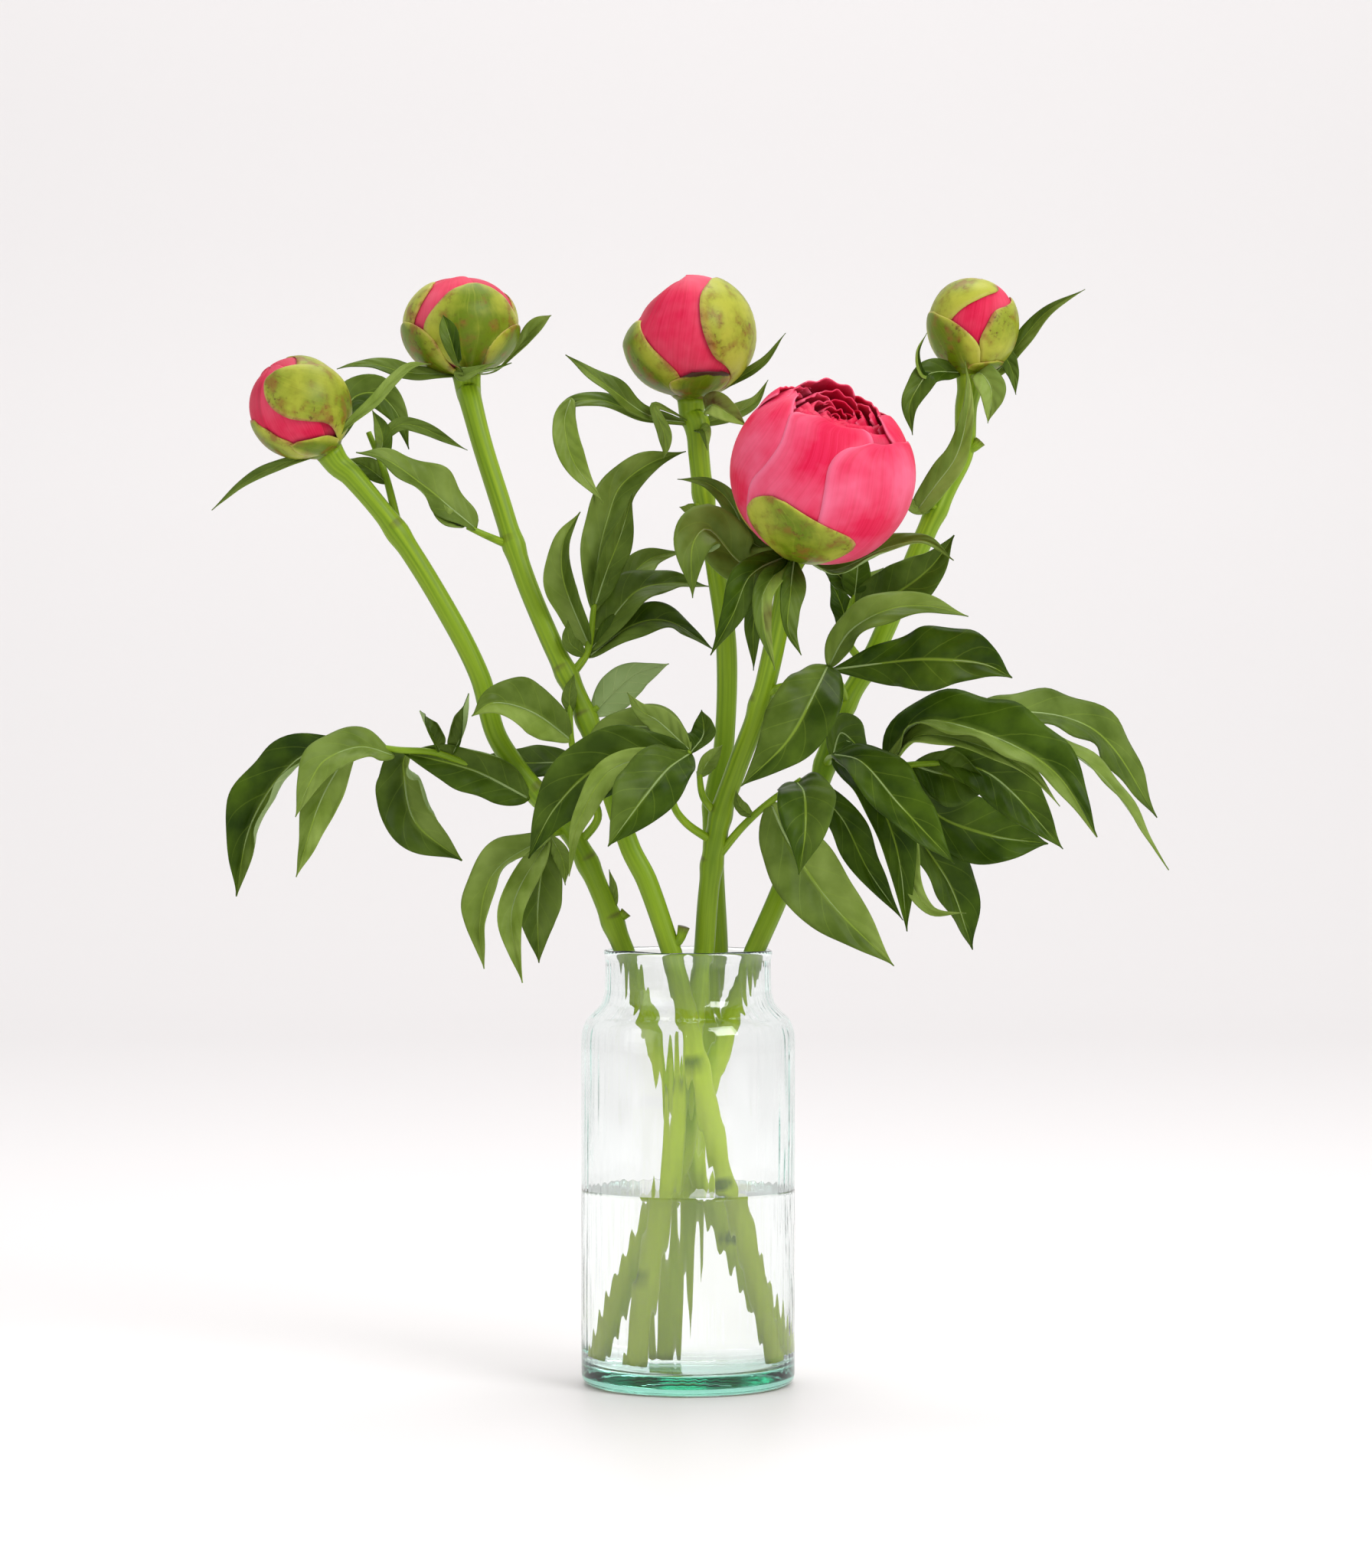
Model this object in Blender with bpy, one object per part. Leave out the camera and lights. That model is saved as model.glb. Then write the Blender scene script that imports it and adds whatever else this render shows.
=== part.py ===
"""Cut peonies in a ribbed glass vase: four buds and one opening bloom on five leafy stems.

Blender 4.5, metres, +Z up. The origin is the centre of the vase's foot, on its resting plane.
+Y points away from the side that the flowers are arranged for, and +X to its right.
"""
from collections import namedtuple
from math import cos, pi, radians, sin

import bmesh
import bpy
from mathutils import Vector

MM = 0.001
GAP = 0.3                    # clearance between touching pieces

# ---------------------------------------------------------------- vase and water (mm)
VASE_SEGMENTS = 40
RIB_COUNT = 20
RIB_DEPTH = 0.35
VASE_OUTER = ((0, 0), (46, 0), (49.2, 2.6), (50, 6), (50, 163), (48.8, 168.5), (44.5, 173.5),
              (40.2, 177.5), (38.9, 182), (38.7, 196), (39.5, 200.5), (38.6, 202.4))
VASE_INNER = ((37.2, 202), (36.5, 199), (36.6, 181), (38.6, 174.8), (43, 170.6), (46.8, 166),
              (47.7, 160), (47.7, 16), (44.5, 9.6), (0, 8))
RIB_FROM, RIB_TO = 12, 170   # the ribs run down the inner wall between these heights
WATER_LEVEL = 91
WATER_SEGMENTS = 32
WATER_PROFILE = ((0, 8.4), (43.8, 10.2), (46.8, 16.5), (46.8, WATER_LEVEL), (0, WATER_LEVEL))
HOLE_OVERSHOOT = 6           # the stems' holes run on past their feet, through the water's bottom

# ---------------------------------------------------------------- stems (mm)
STEM_RADIUS = 4.8
STEM_SIDES = 8
STEM_TOP_RADIUS = 5.2
STEM_END = 8                 # last stretch, straight along the flower's axis
PATH_STEP = 24               # spacing of the rings along a stem
STALK_RADIUS = 2.0
STALK_END_RADIUS = 1.5

# ---------------------------------------------------------------- blades, petals (mm)
BLADE_THICKNESS = 0.7
WIDE_LEAFLET = 20            # leaflets from this width on are split one step finer along their length
LEAFLET_FULLNESS = 0.65      # the lower, the blunter a leaflet's outline
LEAFLET_SKEW = 0.85          # under 1, the widest place lies nearer to the leaflet's root
LEAFLET_ROOT, LEAFLET_TIP = 0.14, 0.04     # widths left at the ends, as shares of the full width
FACET = 30                   # degrees of a flower's roundness in one facet
FLOWER_FULLNESS = 0.92       # under 1, a flower is fuller than an ellipsoid towards its ends
PETAL_HEIGHTS = (0.12, 0.25, 0.4, 0.55, 0.7, 0.85, 0.95)     # a bud's rings, as shares of its height
PETAL_OVERLAP = 1.8          # height of a petal's free edge over the petal that it covers
PETAL_COLUMNS = 3            # facets across one petal
# Inner and outer face of the under and the over sepals, off the petals, as shares of the flower's radius.
SEPAL_LAYERS = ((0.090, 0.125), (0.105, 0.165))
SEPAL_SEAM = 3               # degrees left open between two sepals
SEPAL_BASE = 0.11            # height at which the sepals leave the receptacle, as a share of the flower's
SEPAL_ROUNDING = 0.09        # how far a sepal's corners fall below its tip, as a share of the same height
CAP_OUTER = 0.20             # the receptacle's outer and inner face stand off the petals by these shares
CAP_INNER = 0.075            # of the flower's radius
CAP_FOOT, CAP_BRIM = 0.10, 0.15            # heights of its two rings, as shares of the flower's height
CAP_THICKNESS = 3.0
CAP_MARGIN = 1.2             # how far its flat underside reaches past the stem
BRACT_ROOT = 4.5             # how far from the stem's axis a bract starts
BRACT_HEIGHT = 1.65          # how far above the receptacle's underside it starts
COLLAR_WALL = 2.0            # the collar of a leafy whorl stands this far out from the stem

FRONT = (0, -1, 0.25)
FRONT_UP = (0, -0.75, 0.65)
UP = (0, -0.35, 0.94)
LEFT = (-0.55, -0.8, 0.25)
RIGHT = (0.55, -0.8, 0.25)
UNDER = (0, 0.9, -0.45)

Blade = namedtuple("Blade", "midrib width facing fold wave blunt", defaults=(FRONT, 0.28, 1.2, False))
Leaf = namedtuple("Leaf", "name stem stalks blades collar solver", defaults=(None, "EXACT"))
Sepal = namedtuple("Sepal", "first last end layer")  # azimuths in facets; end as a share of the height
Flower = namedtuple("Flower", "name centre axis radius height seams lean spin sepals bracts")

# Each stem's centreline from its foot in the vase to just under its flower.
STEMS = {
    1: ((33, 12, 11.5), (-30, 6, 202), (-47, 3, 243), (-58, 0, 262), (-70, -1, 275), (-81, -2, 289),
        (-90, -4, 304), (-97, -7, 330), (-112, -10, 360), (-134, -14, 397), (-151, -17, 423)),
    2: ((36, -15, 11.5), (-7.5, -21, 202), (-19, -19, 235), (-27, -18, 251), (-47, -10, 310),
        (-65, -3, 349), (-77, 3, 378), (-89, 10, 415), (-97, 16, 440), (-103, 22, 462)),
    3: ((-22, -22, 10.6), (7.5, -4, 202), (10, -8, 234), (15, -14, 265), (22, -19, 286),
        (33, -28, 316), (42, -39, 355), (45, -43, 370)),
    4: ((-8, 24, 10), (14, 14, 202), (12, 15, 245), (12, 16, 270), (17, 17, 300), (18, 17, 345),
        (13, 18, 383), (7, 18, 420), (3, 19, 450)),
    5: ((-36, -6, 11.6), (31, 0, 202), (43, 4, 229), (58, 9, 268), (72, 15, 313), (88, 20, 342),
        (114, 28, 402), (126, 31, 422), (135, 35, 439), (134, 38, 462)),
}

FLOWERS = {
    1: Flower("bud_far_left", (-178, -25, 454), (-0.70, -0.25, 0.67), 20.5, 41,
              seams=(-60, 10, 110, 200), lean=30, spin=15,
              sepals=(Sepal(0, 4, 0.80, 1), Sepal(-5, -2, 0.45, 0), Sepal(-2, 0, 0.26, 1),
                      Sepal(4, 7, 0.72, 0)),
              bracts=(Blade(((-174, -22, 428), (-190, -23, 428), (-212, -20, 420), (-223, -16, 405)), 7,
                            LEFT),
                      Blade(((-146, -32, 452), (-132, -36, 464), (-117, -34, 474)), 9, FRONT_UP),
                      Blade(((-150, -2, 457), (-138, 6, 457), (-132, 8, 436)), 15))),
    2: Flower("bud_left", (-108, 30, 498), (-0.12, 0.05, 0.99), 24, 41,
              seams=(-75, 15, 105, 195), lean=20, spin=15,
              sepals=(Sepal(-1, 3, 0.76, 1), Sepal(-5, -3, 0.72, 0), Sepal(-3, -1, 0.40, 0),
                      Sepal(3, 7, 0.66, 0)),
              bracts=(Blade(((-135, 14, 478), (-150, 10, 480), (-164, 8, 476)), 7, UP),
                      Blade(((-110, 0, 476), (-112, -6, 490), (-116, -3, 500)), 5),
                      Blade(((-78, 27, 486), (-65, 22, 502)), 6),
                      Blade(((-91, 10, 475), (-83, 8, 478)), 4, UP))),
    4: Flower("bud_middle", (0, 20, 492), (-0.02, -0.05, 1.0), 28, 52,
              seams=(-42, 40, 120, 215), lean=14, spin=0,
              sepals=(Sepal(-4, -1, 0.50, 0), Sepal(1, 4, 0.83, 1), Sepal(-1, 1, 0.22, 1),
                      Sepal(4, 8, 0.66, 0)),
              bracts=(Blade(((34, 16, 478), (46, 18, 493)), 4),)),
    5: Flower("bud_far_right", (136, 40, 499), (0.03, 0.0, 1.0), 18, 38.5,
              seams=(-50, 30, 110, 220), lean=25, spin=0,
              sepals=(Sepal(-4, -1, 0.66, 0), Sepal(1, 4, 0.60, 1), Sepal(-1, 1, 0.22, 1),
                      Sepal(4, 8, 0.90, 0)),
              bracts=(Blade(((112, 26, 478), (104, 22, 464), (106, 22, 444)), 14, LEFT),
                      Blade(((146, 27, 470), (144, 26, 450)), 13),
                      Blade(((153, 44, 480), (158, 46, 468)), 5),
                      Blade(((112, 22, 480), (109, 20, 490), (112, 21, 498)), 3.5),
                      Blade(((149, 35, 477), (163, 31, 494), (186, 24, 513)), 6.5))),
}

BLOOM = Flower(
    "bloom", (60, -62, 420), (0.29, -0.37, 0.88), 42, 83,
    seams=(-40, 18, 74, 132, 190, 256), lean=16, spin=-10,
    sepals=(Sepal(-2, 1, 0.34, 1), Sepal(1, 4, 0.26, 0), Sepal(4, 8, 0.34, 1), Sepal(-4, -2, 0.24, 0)),
    bracts=(Blade(((26, -45, 380), (9, -54, 396), (2, -61, 388), (2, -66, 364)), 22, LEFT),
            Blade(((30, -40, 385), (14, -38, 402), (5, -38, 413), (-6, -36, 420)), 6, UP),
            Blade(((28, -68, 374), (20, -72, 356), (10, -70, 338)), 13),
            Blade(((34, -76, 366), (34, -80, 350), (39, -80, 331)), 13),
            Blade(((46, -68, 366), (45, -72, 350), (51, -74, 338)), 13, RIGHT),
            Blade(((28, -35, 383), (18, -32, 366)), 16),
            Blade(((31, -38, 360), (30, -34, 332)), 9),
            Blade(((66, -34, 378), (90, -36, 388), (108, -44, 391), (121, -50, 382)), 9, FRONT_UP)))

BLOOM_HEIGHTS = (0.10, 0.22, 0.36, 0.5, 0.64)      # rings of the outer petals, as shares of the height
BLOOM_MOUTH = 0.79           # share of the height at which the outer petals end
BLOOM_LIP = 1.4              # thickness of their ends
BLOOM_EDGE_FALL = 5          # how far their ends' corners lie below their middles
BLOOM_DISH = ((0.72, 3.5), (0.60, 9))      # inner side of the outer petals: share of the height, depth in mm
BLOOM_FLOOR = 6              # the dish's bottom, above the bloom's centre
# Rings of short petals in the bloom's mouth: count, ring radius, petal width, turn in degrees.
RUFFLE_RINGS = ((6, 19, 17, 10), (4, 9, 12, 40))
RUFFLE_ROOT, RUFFLE_TOP = 3, 37            # their roots and lowest tips, above the bloom's centre
RUFFLE_STEP = 2              # neighbours' tips differ by this
RUFFLE_STAGGER = 2           # every other petal stands this much further in, and the rest further out
RUFFLE_TAPER = 0.8           # a ring's radius at its roots, as a share of that at its tips
RUFFLE_BELLY = 2.5           # how far a petal's middle bulges outwards
RUFFLE_FOLD, RUFFLE_WAVE = -0.25, 1.6      # a cupped petal with a waved edge

LEAVES = (
    Leaf("leaf_1_under_bud", 1, (((-134, -14, 397), (-141, -8, 424), (-149, -6, 444)),),
         (Blade(((-147, -7, 437), (-132, -4, 448), (-103, -2, 436)), 6),
          Blade(((-140, -9, 420), (-150, -6, 428), (-159, -2, 432)), 9),
          Blade(((-144, -8, 431), (-142, -14, 441), (-146, -19, 453)), 10, RIGHT))),
    Leaf("leaf_1_left", 1,
         (((-69, -1, 273), (-84, -7, 280), (-115, -16, 294), (-136, -18, 296), (-159, -22, 300)),),
         (Blade(((-74, -5, 273), (-99, -14, 286), (-134, -16, 295)), 20, FRONT, 0.2),
          Blade(((-115, -16, 295), (-120, -22, 305), (-124, -17, 314)), 9),
          Blade(((-109, -15, 294), (-103, -22, 308), (-102, -17, 322)), 10),
          Blade(((-136, -18, 296), (-160, -32, 304), (-171, -44, 290), (-180, -50, 267)), 16, FRONT_UP),
          Blade(((-157, -21, 299), (-183, -4, 291), (-205, 8, 262), (-213, 14, 227)), 24, FRONT),
          Blade(((-155, -21, 299), (-170, -22, 272), (-181, -24, 237)), 16),
          Blade(((-130, -17, 296), (-133, 0, 286), (-128, 6, 262), (-106, 4, 244)), 23))),
    Leaf("leaf_1_right", 1,
         (((-52, 2, 251), (-42, -4, 265), (-49, -12, 281), (-54, -16, 299), (-55, -14, 318)),),
         (Blade(((-54, -16, 300), (-74, -34, 314), (-87, -42, 318), (-102, -44, 309)), 22, (0, -0.8, 0.6)),
          Blade(((-52, -13, 289), (-62, 0, 290), (-80, 20, 290), (-102, 34, 293)), 14),
          Blade(((-55, -14, 312), (-55, -16, 322), (-53, -13, 331)), 6))),
    Leaf("leaf_1_hanging", 1, (((-55, 1, 259), (-66, -9, 256)),),
         (Blade(((-64, -8, 256), (-89, -20, 240), (-96, -28, 216), (-94, -32, 195)), 18, LEFT),
          Blade(((-65, -10, 255), (-81, -34, 222), (-76, -42, 189)), 12),
          Blade(((-65, -9, 256), (-70, -4, 226), (-70, 6, 196)), 19),
          Blade(((-64, -9, 256), (-58, -15, 244), (-57, -16, 233)), 6)),
         solver="MANIFOLD"),
    Leaf("leaf_1_sprout", 1, (((-34, 5, 212), (-38, 4, 220)),),
         (Blade(((-37, 4, 217), (-35, 3, 230), (-37, 3, 240)), 5),)),
    Leaf("leaf_2_under_bud", 2, (((-84, 6, 392), (-94, 0, 396), (-103, -4, 400)),),
         (Blade(((-99, -3, 399), (-121, -12, 417), (-140, -22, 430), (-153, -28, 433)), 17, FRONT_UP),
          Blade(((-104, -5, 401), (-112, -12, 403), (-120, -10, 414)), 9))),
    Leaf("leaf_2_upright", 2, (((-54, -8, 331), (-47, -4, 342), (-44, 0, 364)),),
         (Blade(((-44, 0, 360), (-38, 10, 395), (-28, 20, 421), (-4, 30, 441)), 21),
          Blade(((-44, 0, 362), (-34, 0, 384), (-24, 0, 402), (-20, 2, 425)), 12),
          Blade(((-46, -3, 344), (-57, -12, 372), (-58, -20, 391), (-50, -20, 406)), 14, LEFT),
          Blade(((-48, -5, 340), (-55, -12, 346), (-56, -13, 356)), 7),
          Blade(((-46, -3, 342), (-26, 8, 369), (-8, 22, 375), (10, 31, 374)), 16, UP),
          Blade(((-45, -1, 352), (-32, 16, 372), (-18, 32, 387), (-2, 40, 391)), 9),
          Blade(((-47, -4, 339), (-26, 2, 354), (-8, 14, 356), (12, 30, 344)), 12, FRONT_UP))),
    Leaf("leaf_2_low", 2, (((-48, -10, 310), (-42, -12, 316)),),
         (Blade(((-45, -11, 312), (-26, -8, 330), (-9, -4, 336)), 16, UNDER),)),
    Leaf("leaf_3_left", 3,
         (((12, -12, 253), (-1, -22, 262), (-7, -34, 272), (-5, -44, 288), (1, -49, 295)),),
         (Blade(((1, -49, 295), (-18, -38, 306), (-34, -30, 304), (-52, -26, 291)), 20, FRONT_UP),
          Blade(((1, -49, 295), (-14, -40, 309), (-22, -40, 314), (-28, -38, 322)), 10),
          Blade(((1, -49, 294), (-38, -52, 289), (-60, -50, 270), (-73, -46, 246)), 26),
          Blade(((1, -49, 294), (-10, -66, 286), (-22, -76, 271), (-36, -80, 252)), 26),
          Blade(((1, -49, 294), (7, -44, 303), (6, -40, 314)), 12),
          Blade(((1, -49, 294), (-34, -59, 287), (-50, -60, 262), (-54, -56, 238)), 9, RIGHT))),
    Leaf("leaf_3_small", 3, (((15, -14, 264), (7, -17, 274), (5, -17, 286)),),
         (Blade(((5, -17, 283), (9, -21, 290), (16, -19, 298)), 8, RIGHT),)),
    Leaf("leaf_3_right", 3, (((12, -10, 244), (25, -18, 260), (38, -24, 272), (52, -31, 282)),),
         (Blade(((50, -30, 281), (53, -48, 275), (53, -62, 258), (50, -66, 239)), 25),
          Blade(((38, -24, 272), (46, -20, 254), (66, -22, 225), (95, -26, 196)), 29, (-0.25, -0.9, 0.3)),
          Blade(((50, -30, 281), (70, -12, 266), (84, 0, 240), (101, 8, 216)), 15),
          Blade(((30, -21, 265), (24, -24, 270), (22, -24, 277)), 5))),
    Leaf("leaf_4_collar", 4, (),
         (Blade(((3, 19, 454), (-20, 6, 458), (-42, -4, 464), (-58, -12, 479)), 13, UP),
          Blade(((3, 19, 452), (-28, 14, 461), (-56, 16, 461), (-58, 10, 431), (-39, 2, 411)), 12),
          Blade(((3, 19, 454), (-9, 2, 461), (-13, -2, 452), (-12, -4, 433)), 6),
          Blade(((3, 19, 454), (12, 2, 456), (27, -4, 447)), 8),
          Blade(((3, 19, 453), (30, 28, 460), (38, 30, 472)), 7),
          Blade(((3, 19, 452), (7, 4, 448), (9, 0, 438)), 6)),
         collar=(449, 457)),
    Leaf("leaf_4_sprout", 4, (((7, 18, 417), (0, 16, 418)),),
         (Blade(((2, 16, 418), (-4, 16, 414), (-9, 17, 419)), 5),)),
    Leaf("leaf_5_long", 5, (((119, 29, 410), (115, 22, 412)),),
         (Blade(((117, 26, 410), (117, 15, 422), (133, 12, 448), (131, 14, 474)), 12, RIGHT),
          Blade(((116, 25, 410), (106, 22, 411), (104, 21, 419)), 5))),
    Leaf("leaf_5_upper", 5, (((84, 19, 335), (74, 10, 350), (78, 6, 369)),),
         (Blade(((78, 6, 367), (79, 0, 378), (80, -6, 392)), 12),
          Blade(((78, 6, 369), (69, 2, 379), (60, 0, 385)), 9),
          Blade(((78, 6, 369), (86, 8, 374), (92, 14, 382)), 9),
          Blade(((75, 9, 360), (94, -6, 367), (112, -16, 380), (123, -22, 395)), 22),
          Blade(((74, 11, 350), (73, 16, 362), (67, 20, 377)), 9))),
    Leaf("leaf_5_middle", 5, (((75, 16, 317), (71, 2, 327), (65, -14, 334)),),
         (Blade(((65, -14, 334), (80, -22, 356), (104, -28, 366), (129, -24, 358)), 16, UP),
          Blade(((66, -14, 333), (90, -34, 340), (121, -56, 338), (147, -70, 327)), 30, FRONT_UP),
          Blade(((65, -14, 335), (58, -38, 322), (46, -48, 300), (24, -50, 279)), 27))),
    Leaf("leaf_5_right", 5,
         (((65, 12, 289), (66, -2, 292), (68, -12, 293)),
          ((68, -10, 293), (89, -11, 287), (104, -14, 289), (120, -14, 290)),
          ((92, -11, 287), (103, -16, 300), (116, -14, 304))),
         (Blade(((67, -6, 292), (72, 2, 304), (87, 16, 288)), 15, RIGHT),
          Blade(((67, -12, 294), (80, -30, 290), (97, -44, 270), (121, -54, 244)), 22),
          Blade(((67, -11, 292), (84, -24, 278), (96, -30, 250), (101, -28, 212)), 18),
          Blade(((90, -12, 286), (106, -30, 308), (139, -46, 302), (167, -58, 284), (185, -64, 256)), 29,
                FRONT_UP, 0.5),
          Blade(((104, -14, 289), (120, -14, 284), (141, -20, 279)), 22),
          Blade(((103, -14, 289), (116, -2, 266), (141, 4, 256), (169, 6, 252)), 27),
          Blade(((116, -14, 293), (142, -20, 283), (173, -26, 250)), 21),
          Blade(((114, -14, 303), (150, -14, 306), (190, -12, 286), (224, -8, 240)), 15, UP),
          Blade(((113, -13, 304), (150, 8, 314), (192, 28, 306), (224, 40, 264)), 20, FRONT_UP),
          Blade(((103, -13, 289), (104, -6, 262), (123, 4, 232), (134, 12, 202)), 22),
          Blade(((103, -13, 288), (102, -24, 240), (111, -34, 222), (127, -42, 221)), 8)),
         solver="MANIFOLD"),
)

COLOURS = {
    "vase_glass": ((0.86, 0.95, 0.91, 1), 0.05), "water": ((0.80, 0.92, 0.88, 1), 0.02),
    "stem_green": ((0.26, 0.40, 0.03, 1), 0.5), "leaf_green": ((0.05, 0.16, 0.02, 1), 0.45),
    "bloom_pink": ((0.83, 0.10, 0.17, 1), 0.6), "bud_pink": ((0.72, 0.03, 0.10, 1), 0.6),
    "sepal_green": ((0.36, 0.42, 0.06, 1), 0.5),
}


# ---------------------------------------------------------------- helpers
def material(name):
    found = bpy.data.materials.get(name)
    if found:
        return found
    colour, roughness = COLOURS[name]
    made = bpy.data.materials.new(name)
    made.use_nodes = True
    shader = made.node_tree.nodes["Principled BSDF"]
    shader.inputs["Base Color"].default_value = colour
    shader.inputs["Roughness"].default_value = roughness
    return made


def add_object(name, mesh, material_name=None):
    obj = bpy.data.objects.new(name, mesh)
    bpy.context.scene.collection.objects.link(obj)
    if material_name:
        mesh.materials.clear()
        mesh.materials.append(material(material_name))
    return obj


def remove_objects(objects):
    for obj in objects:
        bpy.data.objects.remove(obj, do_unlink=True)


def smooth_path(points, spans):
    """A Catmull-Rom curve through the points, as spans + 1 evenly spaced places."""
    knots = [Vector(point) for point in points]
    knots = [2 * knots[0] - knots[1]] + knots + [2 * knots[-1] - knots[-2]]
    fine = []
    for before, start, end, after in zip(knots, knots[1:], knots[2:], knots[3:]):
        tangent_in = (end - before) * 0.5 * (2 * (end - start).length
                                             / ((end - start).length + (start - before).length))
        tangent_out = (after - start) * 0.5 * (2 * (end - start).length
                                               / ((end - start).length + (after - end).length))
        for step in range(12):
            t = step / 12
            fine.append(start * (2 * t ** 3 - 3 * t ** 2 + 1) + tangent_in * (t ** 3 - 2 * t ** 2 + t)
                        + end * (3 * t ** 2 - 2 * t ** 3) + tangent_out * (t ** 3 - t ** 2))
    fine.append(knots[-2])
    lengths = [0.0]
    for a, b in zip(fine, fine[1:]):
        lengths.append(lengths[-1] + (b - a).length)
    places, index = [], 0
    for span in range(spans + 1):
        target = lengths[-1] * span / spans
        while index < len(fine) - 2 and lengths[index + 1] < target:
            index += 1
        part = (target - lengths[index]) / (lengths[index + 1] - lengths[index])
        places.append(fine[index].lerp(fine[index + 1], min(part, 1.0)))
    return places


def tube(name, path, radius, end_radius, sides):
    """A round rod along the path, with filled ends."""
    curve = bpy.data.curves.new(name, "CURVE")
    curve.dimensions = "3D"
    curve.bevel_mode = "ROUND"
    curve.bevel_depth = MM
    curve.bevel_resolution = sides // 2 - 2
    curve.use_fill_caps = True
    spline = curve.splines.new("POLY")
    spline.points.add(len(path) - 1)
    for index, (place, point) in enumerate(zip(path, spline.points)):
        point.co = (*(place * MM), 1)
        point.radius = radius + (end_radius - radius) * index / (len(path) - 1)
    holder = add_object(name, curve)
    mesh = bpy.data.meshes.new_from_object(holder.evaluated_get(bpy.context.evaluated_depsgraph_get()))
    bpy.data.objects.remove(holder, do_unlink=True)
    bpy.data.curves.remove(curve)
    rounded = bmesh.new()
    rounded.from_mesh(mesh)
    bmesh.ops.remove_doubles(rounded, verts=rounded.verts, dist=1e-6)
    bmesh.ops.triangulate(rounded, faces=rounded.faces)
    bmesh.ops.recalc_face_normals(rounded, faces=rounded.faces)
    rounded.to_mesh(mesh)
    rounded.free()
    return add_object(name, mesh)


def lofted(name, rings):
    """A closed solid skinned over rings of points, whose first and last ring may be a single point."""
    form = bmesh.new()
    rows = [[form.verts.new(point * MM) for point in ring] for ring in rings]
    for lower, upper in zip(rows, rows[1:]):
        count = max(len(lower), len(upper))
        for step in range(count):
            corners = (lower[step % len(lower)], lower[(step + 1) % len(lower)],
                       upper[(step + 1) % len(upper)], upper[step % len(upper)])
            form.faces.new(tuple(dict.fromkeys(corners)))
    bmesh.ops.triangulate(form, faces=form.faces)
    bmesh.ops.recalc_face_normals(form, faces=form.faces)
    mesh = bpy.data.meshes.new(name)
    form.to_mesh(mesh)
    form.free()
    return add_object(name, mesh)


def ring(radius, height, segments, shape=None):
    """Points round +Z, or the one point on the axis; shape may change the radius at each step."""
    points = []
    for step in range(segments if radius else 1):
        angle = 2 * pi * step / segments
        reach = shape(radius, height, step) if shape else radius
        points.append(Vector((reach * sin(angle), -reach * cos(angle), height)))
    return points


def sheet(name, columns, rows, place_front, place_back):
    """A closed plate whose two faces are split alike: each function gives the point at (across, along)."""
    form = bmesh.new()
    faces = []
    for place in (place_front, place_back):
        faces.append([[form.verts.new(place(-1 + 2 * column / columns, row / rows) * MM)
                       for column in range(columns + 1)] for row in range(rows + 1)])
    front, back = faces
    for row in range(rows):
        for column in range(columns):
            corners = ((row, column), (row, column + 1), (row + 1, column + 1), (row + 1, column))
            if column < columns / 2:
                triangles = ((0, 1, 2), (0, 2, 3))
            else:
                triangles = ((0, 1, 3), (1, 2, 3))
            for triangle in triangles:
                form.faces.new([front[corners[k][0]][corners[k][1]] for k in triangle])
                form.faces.new([back[corners[k][0]][corners[k][1]] for k in reversed(triangle)])
    border = [(0, column) for column in range(columns)] + [(row, columns) for row in range(rows)]
    border += [(rows, column) for column in range(columns, 0, -1)]
    border += [(row, 0) for row in range(rows, 0, -1)]
    for (row_a, col_a), (row_b, col_b) in zip(border, border[1:] + border[:1]):
        form.faces.new((front[row_a][col_a], back[row_a][col_a], back[row_b][col_b]))
        form.faces.new((front[row_a][col_a], back[row_b][col_b], front[row_b][col_b]))
    bmesh.ops.recalc_face_normals(form, faces=form.faces)
    mesh = bpy.data.meshes.new(name)
    form.to_mesh(mesh)
    form.free()
    return add_object(name, mesh)


def outline(along, blunt):
    """How much of its full width a leaflet, or a blunt petal, has at this share of its length."""
    if blunt:
        return 0.35 + 0.65 * sin(pi * min(along, 0.8)) ** 0.7
    if along in (0, 1):
        return LEAFLET_TIP if along else LEAFLET_ROOT
    return sin(pi * along ** LEAFLET_SKEW) ** LEAFLET_FULLNESS


def blade(leaflet):
    """One leaflet: folded along its midrib, with a waved edge, pointed at the tip."""
    stations = max(4 if leaflet.width >= WIDE_LEAFLET else 3, len(leaflet.midrib))
    path = smooth_path(leaflet.midrib, stations)
    facing = Vector(leaflet.facing).normalized()
    tangents = [(path[min(i + 1, stations)] - path[max(i - 1, 0)]).normalized() for i in range(stations + 1)]
    normals = [(facing - tangent * facing.dot(tangent)).normalized() for tangent in tangents]

    def place(across, along, side):
        index = round(along * stations)
        normal = normals[index]
        share = outline(along, leaflet.blunt)
        reach = leaflet.width / 2 * share
        rise = abs(across) * reach * leaflet.fold + across * leaflet.wave * share * sin(7 * along)
        return (path[index] + tangents[index].cross(normal) * (across * reach)
                + normal * (rise + side * BLADE_THICKNESS / 2))

    return sheet("blade", 2, stations, lambda across, along: place(across, along, 1),
                 lambda across, along: place(across, along, -1))


def flower_axes(flower):
    axis = Vector(flower.axis).normalized()
    forward = Vector((0, -1, 0))
    forward = (forward - axis * forward.dot(axis)).normalized()
    return axis, forward, axis.cross(forward)


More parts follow.
